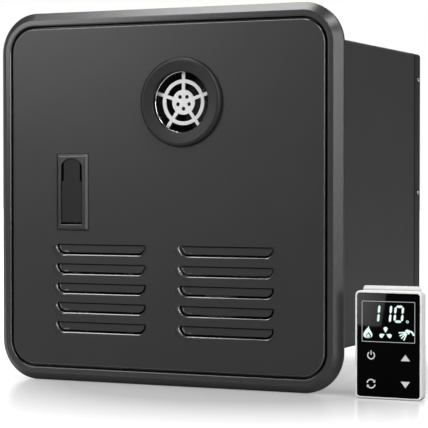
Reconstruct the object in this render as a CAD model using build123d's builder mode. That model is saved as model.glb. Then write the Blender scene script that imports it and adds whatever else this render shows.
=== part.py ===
from build123d import *
import os
from math import atan2, cos, degrees, hypot, radians, sin

# A built-in tankless water heater with a flush square door, and its wall controller.
# Millimetres. +X is the viewer's right, +Y runs back into the case and +Z is up.
# The origin is the middle of the door frame's back, in the plane of the wall.

# Door frame
FRAME_SIZE = 381.0
FRAME_CORNER_R = 41.0
FRAME_DEPTH = 11.0
FRAME_EDGE = 3.0
FRAME_BORDER = 14.0
FRAME_BEVEL = 8.0
FRAME_BEVEL_R = 1.2
FRAME_WALL = 1.5
FRAME_LIP_R = 1.3
SEAT_T = 1.5
SEAT_REACH = 12.5
WALL_SCREW_INSET = 8.0
WALL_SCREW_SPREAD = 100.0
WALL_SCREW_R = 2.2
WALL_GASKET_GAP = 0.3

# Door
DOOR_GAP = 2.4
DOOR_SHEET = 1.0
DOOR_FLANGE = 5.0
DOOR_EDGE_R = 1.8
DOOR_GASKET_INSET = 12.0
DOOR_GASKET_W = 5.0
DOOR_GASKET_GAP = 0.3

# Door hinges
HINGE_INSET = 46.0
HINGE_EDGE = 5.0
HINGE_LUG_R = 1.5
HINGE_LUG_L = 10.0
HINGE_KNUCKLE_L = 8.0
HINGE_PIN_R = 0.75
HINGE_PLAY = 0.05
HINGE_SKIN_GAP = 0.3
HINGE_END_GAP = 0.3
HINGE_NECK = 1.0

# Louvers
LOUVER_ROWS = 5
LOUVER_COLUMNS = 2
LOUVER_L = 102.0
LOUVER_H = 10.6
LOUVER_PITCH = 20.0
LOUVER_COLUMN_PITCH = 140.0
LOUVER_BOTTOM = 35.0
LOUVER_CORNER_R = 9.0
LOUVER_SLOT = 2.2
LOUVER_LAP = 1.5

# Exhaust
EXHAUST_X = 21.0
EXHAUST_DROP = 78.8
BEZEL_R = 45.0
BEZEL_HEIGHT = 5.0
BEZEL_EDGE = 4.0
BEZEL_DISH = 1.0
BEZEL_SLEEVE = 2.0
BEZEL_SLEEVE_L = 1.6
BEZEL_LIP_R = 1.6
BEZEL_FIT = 0.3
FLUE_R = 30.5
FLUE_WALL = 1.0
FLUE_SET_BACK = 2.5
FLUE_COLLAR_R = 38.0
FLUE_COLLAR_T = 1.5
FLUE_INSERT = 10.0
FLUE_FIT = 0.1
GUARD_SET_BACK = 0.6
GUARD_T = 1.6
GUARD_SPOKES = 5
GUARD_SPOKE_W = 3.5
GUARD_RING_R = 23.0
GUARD_RING_W = 3.7
GUARD_HUB_R = 12.5
GUARD_HOLE_R = 2.0
GUARD_HOLE_CIRCLE_R = 6.5

# Latch
LATCH_W = 37.4
LATCH_H = 79.5
LATCH_INSET = 71.2
LATCH_Z = 5.0
LATCH_RIM_H = 3.0
LATCH_RIM_BEVEL = 3.0
LATCH_CUP_WALL = 1.0
LATCH_CUP_BACK = 1.3
LATCH_CUP_FIT = 0.2
LEVER_W = 23.2
LEVER_H = 65.1
LEVER_T = 3.0
LEVER_SET_BACK = 1.0
LEVER_GAP = 0.6
LEVER_TONGUE_W = 18.6
LEVER_TONGUE_H = 23.6
LEVER_ARCH = 4.0
LEVER_BOTTOM_GAP = 2.2
LEVER_HUB_R = 3.0
LEVER_HUB_L = 20.0
LEVER_PIN_R = 1.25
LEVER_PIN_PLAY = 0.05
LEVER_SWING = 25.0
HEEL_BALL_R = 2.5
HEEL_NECK_R = 1.4
HEEL_PLAY = 0.4
BOLT_T = 3.0
BOLT_GAP = 0.3
BOLT_TRAVEL = 4.0
BOLT_OVERLAP = 3.5
BOLT_NOSE_H = 9.0
BOLT_MARGIN = 3.0
BOLT_TAIL = 31.0
STRIKE_CLEAR = 1.2
GUIDE_W = 8.0
GUIDE_T = 1.5
GUIDE_GAP = 0.3
GUIDE_LEFT = 24.0
GUIDE_RIGHT = 23.0

# Case
CASE_SIDE_OVERLAP = 30.0
CASE_TOP_OVERLAP = 30.0
CASE_BOTTOM_OVERLAP = 36.0
CASE_DEPTH = 329.0
CASE_SHEET = 1.0
CASE_CORNER_R = 4.0
COVER_FLANGE = 19.6
COVER_GROOVE = 0.8
TONGUE_LAP = 8.0
TONGUE_REACH = 16.0
FLANGE_SCREW_INSET = 7.5
FLANGE_SCREW_SPREAD = 90.0
SCREW_R = 1.6
SCREW_HEAD_R = 2.75
SCREW_HEAD_H = 1.8
SCREW_L = 5.5
COVER_SCREW_Y = 11.0
COVER_SCREW_SPREAD = 128.0

# Bays round the combustion stack
CONTROL_BAY = 85.0
PIPE_BAY = 45.0
FRONT_BAY = 48.0
REAR_BAY = 70.0
STACK_SHEET = 1.2
BLOWER_TIER = 72.0
BURNER_TIER = 32.0
CHAMBER_TIER = 56.8
EXCHANGER_TIER = 42.0
HOOD_MARGIN = 8.0
RAIL_T = 1.5
RAIL_INSET = 20.0
RAIL_FOOT = 11.0
RAIL_LAP = 24.0

# Burner and gas line
BURNER_COUNT = 9
BURNER_T = 9.0
BURNER_H = 24.0
BURNER_END = 6.0
BURNER_SHEET = 0.8
BURNER_EDGE_R = 1.5
BURNER_PORT_R = 3.0
MANIFOLD_R = 6.0
MANIFOLD_OFFSET = 10.0
NOZZLE_R = 2.0
NOZZLE_PLAY = 0.3
NOZZLE_REACH = 2.0
VALVE_X = 32.0
VALVE_W = 44.0
VALVE_D = 28.0
VALVE_DROP = 20.0
VALVE_FOOT = 6.0
VALVE_FOOT_T = 2.0
VALVE_CHAMFER = 2.0
COIL_R = 11.0
COIL_L = 18.0
COIL_Z = 30.0
COIL_CHAMFER = 1.5
PLUNGER_R = 3.5
PLUNGER_PLAY = 0.05
PLUNGER_OUT = 2.0
PLUNGER_IN = 2.0
PLUNGER_TRAVEL = 2.5
PLUNGER_END_GAP = 1.0
GAS_PIPE_R = 6.35
GAS_PIPE_Z = 30.0
GAS_BORE_R = 4.8
GAS_THREAD_R = 7.9
GAS_THREAD_L = 18.0
GAS_HEX_R = 11.0
FITTING_FLANGE_T = 8.0
FITTING_INSIDE = 9.0
FITTING_FIT = 0.2

# Ignition
ELECTRODE_SPREAD = 28.0
ELECTRODE_RISE = 12.0
ELECTRODE_R = 4.0
ELECTRODE_OUT = 18.0
ELECTRODE_TIP_R = 1.2
ELECTRODE_REACH = 36.0
ELECTRODE_PLATE_W = 46.0
ELECTRODE_PLATE_H = 14.0
ELECTRODE_PLATE_T = 1.5
ELECTRODE_FIT = 0.2
SPARK_W = 44.0
SPARK_D = 24.0
SPARK_H = 32.0
SPARK_Y = 14.0
SPARK_CORNER_R = 1.5

# Blower
BLOWER_FOOT = 2.0
BLOWER_DUCT_RISE = 2.0
BLOWER_Y = 72.0
BLOWER_L = 45.0
BLOWER_WALL = 1.5
BLOWER_INLET_R = 19.0
BLOWER_FOOT_W = 46.0
DUCT_W = 28.0
IMPELLER_GAP = 3.5
IMPELLER_R_GAP = 4.0
IMPELLER_BLADES = 24
IMPELLER_BLADE_T = 1.0
IMPELLER_BLADE_W = 6.0
IMPELLER_DISC_T = 2.0
IMPELLER_HUB_R = 7.0
SHAFT_R = 3.0
SHAFT_PLAY = 0.05
MOTOR_R = 22.0
MOTOR_L = 36.0
MOTOR_CAP = 4.0
MOTOR_CHAMFER = 1.5

# Heat exchanger and water line
TUBE_R = 8.0
TUBE_WALL = 1.0
TUBE_FIT = 0.05
TUBE_PASSES = 4
TUBE_END = 10.0
BEND_LEAD = 3.0
ELBOW_R = 14.0
FIN_COUNT = 18
FIN_T = 0.8
FIN_GAP = 0.3
COLD_RISE = 46.5
SENSOR_START = 40.0
SENSOR_L = 50.0
SENSOR_R = 14.0
SENSOR_BORE_R = 9.0
SENSOR_SPIDER_T = 2.0
SENSOR_SPIDER_W = 3.0
SENSOR_SPIDER_INSET = 14.0
SENSOR_AXLE_R = 1.0
ROTOR_PLAY = 0.05
ROTOR_HUB_R = 2.5
ROTOR_TIP_GAP = 0.6
ROTOR_BLADES = 6
ROTOR_BLADE_T = 1.2
ROTOR_END_GAP = 0.4
WATER_THREAD_R = 10.5
WATER_THREAD_L = 20.0
WATER_BORE_R = 6.5
WATER_HEX_R = 14.0
WATER_SPIGOT_R = 10.0
DRAIN_R = 4.0
DRAIN_L = 6.0
DRAIN_HEAD_R = 7.0
DRAIN_HEAD_T = 5.0
DRAIN_FIT = 0.1
CUTOUT_R = 8.0
CUTOUT_T = 6.0
CUTOUT_TAB = 24.0
CUTOUT_TAB_T = 1.0
CUTOUT_Y = 60.0

# Control box
BOX_W = 68.0
BOX_Y = 18.0
BOX_D = 40.0
BOX_H = 120.0
BOX_CLEAR = 4.0
BOX_WALL = 1.5
BOX_APRON = 34.0
BOARD_T = 1.6
BOARD_GAP = 2.0
BOARD_STANDOFF = 14.0
BOARD_POST_R = 3.0
CHIP_W = 18.0
CHIP_H = 9.0
RELAY_W = 15.0
RELAY_H = 20.0
RELAY_T = 11.0
ROCKER_W = 20.4
ROCKER_R = 6.3
ROCKER_GAP = 0.4
ROCKER_PROUD = 2.3
ROCKER_FACE = 13.0
ROCKER_TILT = 11.0
ROCKER_PIN_R = 1.5
ROCKER_PIN_L = 2.0
ROCKER_PLAY = 0.05
ROCKER_CHEEK_T = 2.5
GROMMET_R = 7.0
GROMMET_HOLE_R = 10.0
GROMMET_LIP = 3.0
GROMMET_LIP_T = 2.0
GROMMET_X = 100.0
GROMMET_Z = 50.0

# Wall controller
PANEL_W = 66.6
PANEL_H = 103.0
PANEL_T = 12.0
PANEL_CORNER_R = 5.0
PANEL_EDGE_R = 1.0
PANEL_WALL = 1.8
PANEL_RIM = 2.0
PANEL_STEP = 17.2
PANEL_FORWARD = 18.0
GLASS_T = 1.2
GLASS_FIT = 0.1
GLASS_CORNER_R = 3.2
GLASS_BACKING = 1.6
DISPLAY_W = 56.0
DISPLAY_H = 44.0
DISPLAY_T = 2.6
DISPLAY_DROP = 5.5
DISPLAY_FIT = 0.2
PANEL_BOARD_GAP = 2.0
PANEL_BOARD_T = 1.4
PANEL_POST_R = 2.0
PANEL_POST_INSET = 4.5
PANEL_BACK_T = 1.5
PANEL_BACK_FIT = 0.1
SOCKET_W = 14.0
SOCKET_H = 9.0
SOCKET_WALL = 1.2
SOCKET_FIT = 0.3
SOCKET_RISE = 24.0
BRACKET_W = 58.0
BRACKET_T = 2.0
BRACKET_RISE = 4.2
BRACKET_FOOT = 8.0
BRACKET_HOLE_R = 2.0
BRACKET_HOLE_PITCH = 40.0
BRACKET_CORNER_R = 2.5
BRACKET_GAP = 0.2
HOOK_RISE = 66.0
HOOK_SPREAD = 36.0
HOOK_W = 7.0
HOOK_NECK_H = 3.0
HOOK_HEAD_H = 3.2
HOOK_HEAD_T = 1.2
HOOK_GAP = 0.3
HOOK_LIFT = 4.0


def at_depth(y):
    """The sketch plane at depth y, with X to the right, Z up and extrusion to the front."""
    return Plane.XZ.offset(-y)


def axle_plane(x, z):
    """The plane for a turned profile: local X is the radius and local Y the depth, about (x, z)."""
    return Plane(origin=(x, 0, z), x_dir=(1, 0, 0), z_dir=(0, 0, 1))


def block(x, y, z, mode=Mode.ADD):
    """A box between a pair of limits along each axis."""
    middle = tuple((low + high) / 2 for low, high in (x, y, z))
    with Locations(middle):
        Box(x[1] - x[0], y[1] - y[0], z[1] - z[0], mode=mode)


def rod_x(y, z, radius, x, mode=Mode.ADD):
    """A cylinder along X between the limits x."""
    with Locations(((x[0] + x[1]) / 2, y, z)):
        Cylinder(radius, x[1] - x[0], rotation=(0, 90, 0), mode=mode)


def rod_y(x, z, radius, y, mode=Mode.ADD):
    """A cylinder along Y between the limits y."""
    with Locations((x, (y[0] + y[1]) / 2, z)):
        Cylinder(radius, y[1] - y[0], rotation=(90, 0, 0), mode=mode)


def rod_z(x, y, radius, z, mode=Mode.ADD):
    """A cylinder along Z between the limits z."""
    with Locations((x, y, (z[0] + z[1]) / 2)):
        Cylinder(radius, z[1] - z[0], mode=mode)


def hex_y(x, z, radius, y):
    """A hexagonal prism along Y between the limits y."""
    with BuildSketch(at_depth(y[1])) as hexagon:
        with Locations((x, z)):
            RegularPolygon(radius, 6)
    extrude(hexagon.sketch, amount=y[1] - y[0])


def about(middle, size):
    """A pair of limits about a middle."""
    return (middle - size / 2, middle + size / 2)


# Frame and door limits
HALF = FRAME_SIZE / 2
OPENING = HALF - FRAME_BORDER
OPENING_R = FRAME_CORNER_R - FRAME_BORDER
FRONT = -FRAME_DEPTH
SEAT = -SEAT_T
BEVEL_RISE = FRAME_DEPTH - FRAME_EDGE
BEVEL_ANGLE = degrees(atan2(FRAME_BEVEL, BEVEL_RISE))
DOOR_HALF = OPENING - DOOR_GAP
DOOR_R = OPENING_R - DOOR_GAP
DOOR_BACK = FRONT + DOOR_SHEET
EXHAUST_Z = DOOR_HALF - EXHAUST_DROP

# Case limits, outside and inside
CASE_X = HALF - CASE_SIDE_OVERLAP
CASE_TOP = HALF - CASE_TOP_OVERLAP
CASE_BOTTOM = CASE_BOTTOM_OVERLAP - HALF
CASE_MID = (CASE_TOP + CASE_BOTTOM) / 2
CASE_H = CASE_TOP - CASE_BOTTOM
LEFT = CASE_SHEET - CASE_X
RIGHT = CASE_X - CASE_SHEET
FLOOR = CASE_BOTTOM + CASE_SHEET
COVER_Y = CASE_DEPTH - COVER_FLANGE
COVER_INSIDE = CASE_DEPTH - CASE_SHEET
WINDOW_X = CASE_X - SEAT_REACH
WINDOW_TOP = CASE_TOP - SEAT_REACH
WINDOW_BOTTOM = CASE_BOTTOM + SEAT_REACH

# Hinge axis
PIVOT_X = DOOR_HALF - HINGE_EDGE
PIVOT_Y = DOOR_BACK + HINGE_SKIN_GAP + HINGE_LUG_R
HINGE_Z = DOOR_HALF - HINGE_INSET
KNUCKLE_NEAR = HINGE_LUG_L / 2 + HINGE_END_GAP
KNUCKLE_FAR = KNUCKLE_NEAR + HINGE_KNUCKLE_L

# Latch places
LATCH_X = LATCH_INSET - DOOR_HALF
LATCH_FRONT = FRONT - LATCH_RIM_H
LEVER_FRONT = LATCH_FRONT + LEVER_SET_BACK
LEVER_BACK = LEVER_FRONT + LEVER_T
CAVITY_W = LEVER_W + 2 * LEVER_GAP
LEVER_BOTTOM = LATCH_Z - LATCH_H / 2 + (LATCH_W - CAVITY_W) / 2 + LEVER_BOTTOM_GAP
LEVER_TOP = LEVER_BOTTOM + LEVER_H
LEVER_PIN_Y = LEVER_BACK + LEVER_GAP
LEVER_PIN_Z = LEVER_TOP - LEVER_TONGUE_H
CAVITY_BACK = LATCH_CUP_BACK - LATCH_CUP_WALL
CUP_W = CAVITY_W + 2 * LATCH_CUP_WALL
CUP_TOP = LEVER_TOP + LEVER_GAP + LATCH_CUP_WALL
CUP_BOTTOM = LEVER_BOTTOM - LEVER_BOTTOM_GAP - LATCH_CUP_WALL
BOLT_FRONT = LATCH_CUP_BACK + BOLT_GAP
BOLT_BACK = BOLT_FRONT + BOLT_T
BOLT_MID = (BOLT_FRONT + BOLT_BACK) / 2
HEEL_R = BOLT_MID - LEVER_PIN_Y
HEEL_DROP = HEEL_R * sin(radians(LEVER_SWING))
HEEL_SLOT_R = HEEL_BALL_R + HEEL_PLAY
BOLT_TOP = LEVER_PIN_Z + HEEL_SLOT_R + BOLT_MARGIN
BOLT_BOTTOM = LEVER_PIN_Z - HEEL_DROP - HEEL_SLOT_R - BOLT_MARGIN
BOLT_Z = (BOLT_TOP + BOLT_BOTTOM) / 2
BOLT_TIP = -WINDOW_X - BOLT_OVERLAP
BOLT_END = LATCH_X + BOLT_TAIL

# Stack limits
STACK_LEFT = LEFT + CONTROL_BAY
STACK_RIGHT = RIGHT - PIPE_BAY
STACK_X = (STACK_LEFT + STACK_RIGHT) / 2
STACK_FRONT = FRONT_BAY
STACK_BACK = COVER_INSIDE - REAR_BAY
FLUE_OUT_R = FLUE_R + FLUE_WALL
HOOD_Z = EXHAUST_Z - FLUE_COLLAR_R - HOOD_MARGIN
HOOD_TOP = EXHAUST_Z + FLUE_COLLAR_R + HOOD_MARGIN
# The tiers share the height between the case floor and the hood in proportion to their sizes.
TIER_FIT = (HOOD_Z - FLOOR) / (BLOWER_TIER + BURNER_TIER + CHAMBER_TIER + EXCHANGER_TIER)
TRAY_Z = FLOOR + BLOWER_TIER * TIER_FIT
CHAMBER_Z = TRAY_Z + BURNER_TIER * TIER_FIT
EXCHANGER_Z = CHAMBER_Z + CHAMBER_TIER * TIER_FIT
TUBE_Z = (EXCHANGER_Z + HOOD_Z) / 2
STACK_LIMITS_X = (STACK_LEFT, STACK_RIGHT)
STACK_LIMITS_Y = (STACK_FRONT, STACK_BACK)
STACK_INSIDE_X = (STACK_LEFT + STACK_SHEET, STACK_RIGHT - STACK_SHEET)
STACK_INSIDE_Y = (STACK_FRONT + STACK_SHEET, STACK_BACK - STACK_SHEET)


def wall_screw_spots():
    """Places of the wall screws in the seat flange: two on each side."""
    reach = OPENING - WALL_SCREW_INSET
    across = [(sx * reach, sz * WALL_SCREW_SPREAD) for sx in (-1, 1) for sz in (-1, 1)]
    upright = [(sx * WALL_SCREW_SPREAD, sz * reach) for sx in (-1, 1) for sz in (-1, 1)]
    return across + upright


def flange_screw_spots():
    """Places of the screws that hold the case flange to the frame."""
    reach = CASE_X - FLANGE_SCREW_INSET
    top = CASE_TOP - FLANGE_SCREW_INSET
    bottom = CASE_BOTTOM + FLANGE_SCREW_INSET
    spots = [(sx * reach, CASE_MID + sz * FLANGE_SCREW_SPREAD) for sx in (-1, 1) for sz in (-1, 1)]
    return spots + [(sx * FLANGE_SCREW_SPREAD, z) for sx in (-1, 1) for z in (top, bottom)]


def strike_notch():
    """Cut the pocket for the bolt's nose out of a flange on the left."""
    block(
        (BOLT_TIP - STRIKE_CLEAR, -WINDOW_X),
        (SEAT, CASE_SHEET),
        about(BOLT_Z, BOLT_NOSE_H + 2 * STRIKE_CLEAR),
        Mode.SUBTRACT,
    )


with BuildPart() as door_frame:
    with BuildSketch(at_depth(0)):
        RectangleRounded(FRAME_SIZE, FRAME_SIZE, FRAME_CORNER_R)
    extrude(amount=FRAME_EDGE)
    with BuildSketch(at_depth(-FRAME_EDGE)):
        RectangleRounded(FRAME_SIZE, FRAME_SIZE, FRAME_CORNER_R)
    extrude(amount=BEVEL_RISE, taper=BEVEL_ANGLE)
    fillet(door_frame.faces().sort_by(Axis.Y)[0].outer_wire().edges(), FRAME_BEVEL_R)
    # The back is hollow behind the border.
    hollow = FRAME_SIZE - 2 * FRAME_WALL
    hollow_r = FRAME_CORNER_R - FRAME_WALL
    with BuildSketch(at_depth(0)):
        RectangleRounded(hollow, hollow, hollow_r)
    extrude(amount=FRAME_EDGE, mode=Mode.SUBTRACT)
    with BuildSketch(at_depth(-FRAME_EDGE)):
        RectangleRounded(hollow, hollow, hollow_r)
    extrude(amount=BEVEL_RISE - FRAME_WALL, taper=BEVEL_ANGLE, mode=Mode.SUBTRACT)
    core = 2 * (OPENING + FRAME_WALL)
    with BuildSketch(at_depth(0)):
        RectangleRounded(core, core, OPENING_R + FRAME_WALL)
    extrude(amount=FRAME_DEPTH - FRAME_WALL)
    # The door opening stops at the seat flange, whose window opens into the case.
    with BuildSketch(at_depth(SEAT)):
        RectangleRounded(2 * OPENING, 2 * OPENING, OPENING_R)
    extrude(amount=FRAME_DEPTH - SEAT_T, mode=Mode.SUBTRACT)
    fillet(door_frame.faces().sort_by(Axis.Y)[0].inner_wires()[0].edges(), FRAME_LIP_R)
    block((-WINDOW_X, WINDOW_X), (SEAT, 0), (WINDOW_BOTTOM, WINDOW_TOP), Mode.SUBTRACT)
    strike_notch()
    for x, z in wall_screw_spots():
        rod_y(x, z, WALL_SCREW_R, (SEAT, 0), Mode.SUBTRACT)
    for x, z in flange_screw_spots():
        rod_y(x, z, SCREW_R, (SEAT, 0), Mode.SUBTRACT)
    # Hinge lugs stand on the seat flange.
    for z in (-HINGE_Z, HINGE_Z):
        span = about(z, HINGE_LUG_L)
        rod_z(PIVOT_X, PIVOT_Y, HINGE_LUG_R, span)
        block((PIVOT_X - HINGE_LUG_R, PIVOT_X + HINGE_NECK), (PIVOT_Y, SEAT), span)
        rod_z(PIVOT_X, PIVOT_Y, HINGE_PIN_R, span, Mode.SUBTRACT)

with BuildPart() as wall_gasket:
    gasket_in = OPENING + FRAME_WALL + WALL_GASKET_GAP
    gasket_out = HALF - FRAME_BEVEL - WALL_GASKET_GAP
    with BuildSketch(at_depth(0)):
        RectangleRounded(2 * gasket_out, 2 * gasket_out, FRAME_CORNER_R - HALF + gasket_out)
        RectangleRounded(
            2 * gasket_in, 2 * gasket_in, OPENING_R - OPENING + gasket_in, mode=Mode.SUBTRACT
        )
    extrude(amount=FRAME_DEPTH - FRAME_WALL)

with BuildPart() as hinge_pins:
    for z in (-HINGE_Z, HINGE_Z):
        rod_z(PIVOT_X, PIVOT_Y, HINGE_PIN_R, about(z, 2 * KNUCKLE_FAR))

with BuildPart() as frame_screws:
    for x, z in flange_screw_spots():
        rod_y(x, z, SCREW_HEAD_R, (SEAT - SCREW_HEAD_H, SEAT))
        rod_y(x, z, SCREW_R, (SEAT, SEAT + SCREW_L))


def louver_spots():
    """Middles of the louvers' top edges, by column and row."""
    first = LOUVER_BOTTOM - DOOR_HALF + LOUVER_H
    for column in range(LOUVER_COLUMNS):
        for row in range(LOUVER_ROWS):
            x = (column - (LOUVER_COLUMNS - 1) / 2) * LOUVER_COLUMN_PITCH
            yield x, first + row * LOUVER_PITCH


def louver_outline(inset):
    """A boat-shaped louver outline hung from its top edge, drawn in by inset on the other sides."""
    half = LOUVER_L / 2 - inset
    depth = LOUVER_H - inset
    corner = LOUVER_CORNER_R - inset
    with BuildLine() as outline:
        Line((-half, 0), (half, 0))
        Line((half, 0), (half, corner - depth))
        RadiusArc((half, corner - depth), (half - corner, -depth), corner)
        Line((half - corner, -depth), (corner - half, -depth))
        RadiusArc((corner - half, -depth), (-half, corner - depth), corner)
        Line((-half, corner - depth), (-half, 0))
    return outline.edges()


with BuildPart() as door_panel:
    with BuildSketch(at_depth(FRONT + DOOR_FLANGE)):
        RectangleRounded(2 * DOOR_HALF, 2 * DOOR_HALF, DOOR_R)
    extrude(amount=DOOR_FLANGE)
    fillet(door_panel.faces().sort_by(Axis.Y)[0].outer_wire().edges(), DOOR_EDGE_R)
    inside = 2 * (DOOR_HALF - DOOR_SHEET)
    with BuildSketch(at_depth(FRONT + DOOR_FLANGE)):
        RectangleRounded(inside, inside, DOOR_R - DOOR_SHEET)
    extrude(amount=DOOR_FLANGE - DOOR_SHEET, mode=Mode.SUBTRACT)
    # Louvers are slots round a tongue that hangs from the sheet above it.
    for x, z in louver_spots():
        with BuildSketch(at_depth(DOOR_BACK).shift_origin((x, DOOR_BACK, z))):
            make_face(louver_outline(0))
        extrude(amount=DOOR_SHEET, mode=Mode.SUBTRACT)
        with BuildSketch(at_depth(DOOR_BACK).shift_origin((x, DOOR_BACK, z))):
            make_face(louver_outline(LOUVER_SLOT))
        extrude(amount=-DOOR_SHEET)
        lap = about(x, LOUVER_L - 2 * LOUVER_SLOT)
        block(lap, (DOOR_BACK, DOOR_BACK + DOOR_SHEET), (z, z + LOUVER_LAP))
    rod_y(EXHAUST_X, EXHAUST_Z, FLUE_R + BEZEL_SLEEVE + BEZEL_FIT, (FRONT, DOOR_BACK), Mode.SUBTRACT)
    block(
        about(LATCH_X, CUP_W + 2 * LATCH_CUP_FIT),
        (FRONT, DOOR_BACK),
        (CUP_BOTTOM - LATCH_CUP_FIT, CUP_TOP + LATCH_CUP_FIT),
        Mode.SUBTRACT,
    )
    # Hinge knuckles stand each side of a lug, and the turned edge is cut away at the lug.
    for z in (-HINGE_Z, HINGE_Z):
        block(
            (PIVOT_X - HINGE_LUG_R, DOOR_HALF),
            (DOOR_BACK, FRONT + DOOR_FLANGE),
            about(z, HINGE_LUG_L + 2 * HINGE_END_GAP),
            Mode.SUBTRACT,
        )
        for span in ((z - KNUCKLE_FAR, z - KNUCKLE_NEAR), (z + KNUCKLE_NEAR, z + KNUCKLE_FAR)):
            rod_z(PIVOT_X, PIVOT_Y, HINGE_LUG_R, span)
            block((PIVOT_X - HINGE_LUG_R, PIVOT_X + HINGE_LUG_R), (DOOR_BACK, PIVOT_Y), span)
            rod_z(PIVOT_X, PIVOT_Y, HINGE_PIN_R + HINGE_PLAY, span, Mode.SUBTRACT)

with BuildPart() as door_gasket:
    ring_out = DOOR_HALF - DOOR_GASKET_INSET
    ring_in = ring_out - DOOR_GASKET_W
    with BuildSketch(at_depth(SEAT - DOOR_GASKET_GAP)):
        RectangleRounded(2 * ring_out, 2 * ring_out, DOOR_R - DOOR_GASKET_INSET)
        RectangleRounded(
            2 * ring_in, 2 * ring_in, DOOR_R - DOOR_GASKET_INSET - DOOR_GASKET_W, mode=Mode.SUBTRACT
        )
    extrude(amount=SEAT - DOOR_GASKET_GAP - DOOR_BACK)

with BuildPart() as exhaust_bezel:
    bezel_front = FRONT - BEZEL_HEIGHT
    sleeve_r = FLUE_R + BEZEL_SLEEVE
    with BuildSketch(axle_plane(EXHAUST_X, EXHAUST_Z)):
        with BuildLine():
            # A rounded mouth, a dished face and a broad soft outer edge
            Polyline(
                (BEZEL_R, FRONT),
                (sleeve_r, FRONT),
                (sleeve_r, FRONT + BEZEL_SLEEVE_L),
                (FLUE_R, FRONT + BEZEL_SLEEVE_L),
                (FLUE_R, bezel_front + BEZEL_DISH + BEZEL_LIP_R),
            )
            RadiusArc(
                (FLUE_R, bezel_front + BEZEL_DISH + BEZEL_LIP_R),
                (FLUE_R + BEZEL_LIP_R, bezel_front + BEZEL_DISH),
                -BEZEL_LIP_R,
            )
            Line((FLUE_R + BEZEL_LIP_R, bezel_front + BEZEL_DISH), (BEZEL_R - BEZEL_EDGE, bezel_front))
            EllipticalCenterArc(
                (BEZEL_R - BEZEL_EDGE, FRONT), BEZEL_EDGE, BEZEL_HEIGHT, start_angle=270, arc_size=90
            )
        make_face()
    revolve(axis=Axis((EXHAUST_X, 0, EXHAUST_Z), (0, 1, 0)))

with BuildPart() as flue_tube:
    flue_mouth = FRONT + BEZEL_SLEEVE_L + FLUE_SET_BACK
    rod_y(EXHAUST_X, EXHAUST_Z, FLUE_OUT_R, (flue_mouth, STACK_FRONT + FLUE_INSERT))
    rod_y(EXHAUST_X, EXHAUST_Z, FLUE_COLLAR_R, (STACK_FRONT - FLUE_COLLAR_T, STACK_FRONT))
    rod_y(EXHAUST_X, EXHAUST_Z, FLUE_R, (flue_mouth, STACK_FRONT + FLUE_INSERT), Mode.SUBTRACT)

with BuildPart() as exhaust_guard:
    guard_back = flue_mouth + GUARD_SET_BACK + GUARD_T
    guard_plane = at_depth(guard_back).shift_origin((EXHAUST_X, guard_back, EXHAUST_Z))
    with BuildSketch(guard_plane):
        Circle(GUARD_RING_R)
        Circle(GUARD_RING_R - GUARD_RING_W, mode=Mode.SUBTRACT)
        Circle(GUARD_HUB_R)
        with PolarLocations(FLUE_R / 2, GUARD_SPOKES, start_angle=90):
            Rectangle(FLUE_R, GUARD_SPOKE_W)
        with PolarLocations(GUARD_HOLE_CIRCLE_R, GUARD_SPOKES, start_angle=90 + 180 / GUARD_SPOKES):
            Circle(GUARD_HOLE_R, mode=Mode.SUBTRACT)
        # The spokes end on the wall of the flue.
        Circle(FLUE_R, mode=Mode.INTERSECT)
    extrude(amount=GUARD_T)


LEVER_ARCH_R = (LEVER_TONGUE_W**2 / 4 + LEVER_ARCH**2) / (2 * LEVER_ARCH)


def arch_outline(width, bottom, grow):
    """An upright outline under the lever's arched top, whose arch stands a gap outside the lever's."""
    half = width / 2
    radius = LEVER_ARCH_R + grow
    shoulder = LEVER_TOP - LEVER_ARCH_R + (radius**2 - half**2) ** 0.5
    with BuildLine() as outline:
        Polyline((-half, shoulder), (-half, bottom), (half, bottom), (half, shoulder))
        ThreePointArc((half, shoulder), (0, LEVER_TOP + grow), (-half, shoulder))
    return outline.edges()


with BuildPart() as latch_housing:
    with BuildSketch(at_depth(FRONT)):
        with Locations((LATCH_X, LATCH_Z)):
            Rectangle(LATCH_W, LATCH_H)
    extrude(amount=LATCH_RIM_H, taper=degrees(atan2(LATCH_RIM_BEVEL, LATCH_RIM_H)))
    block(about(LATCH_X, CUP_W), (FRONT, LATCH_CUP_BACK), (CUP_BOTTOM, CUP_TOP))
    cavity_bottom = CUP_BOTTOM + LATCH_CUP_WALL
    cavity_z = (cavity_bottom, CUP_TOP - LATCH_CUP_WALL)
    block(about(LATCH_X, CAVITY_W), (FRONT, CAVITY_BACK), cavity_z, Mode.SUBTRACT)
    with BuildSketch(at_depth(FRONT).shift_origin((LATCH_X, FRONT, 0))):
        make_face(arch_outline(CAVITY_W, cavity_bottom, LEVER_GAP))
    extrude(amount=LATCH_RIM_H, mode=Mode.SUBTRACT)
    # The heel of the lever comes through the back of the cup.
    block(
        about(LATCH_X, 2 * HEEL_SLOT_R),
        (CAVITY_BACK, LATCH_CUP_BACK),
        (LEVER_PIN_Z - HEEL_DROP - HEEL_SLOT_R, LEVER_PIN_Z + HEEL_SLOT_R),
        Mode.SUBTRACT,
    )
    rod_x(LEVER_PIN_Y, LEVER_PIN_Z, LEVER_PIN_R, about(LATCH_X, CUP_W), Mode.SUBTRACT)

with BuildPart() as latch_pin:
    rod_x(LEVER_PIN_Y, LEVER_PIN_Z, LEVER_PIN_R, about(LATCH_X, CUP_W))

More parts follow.
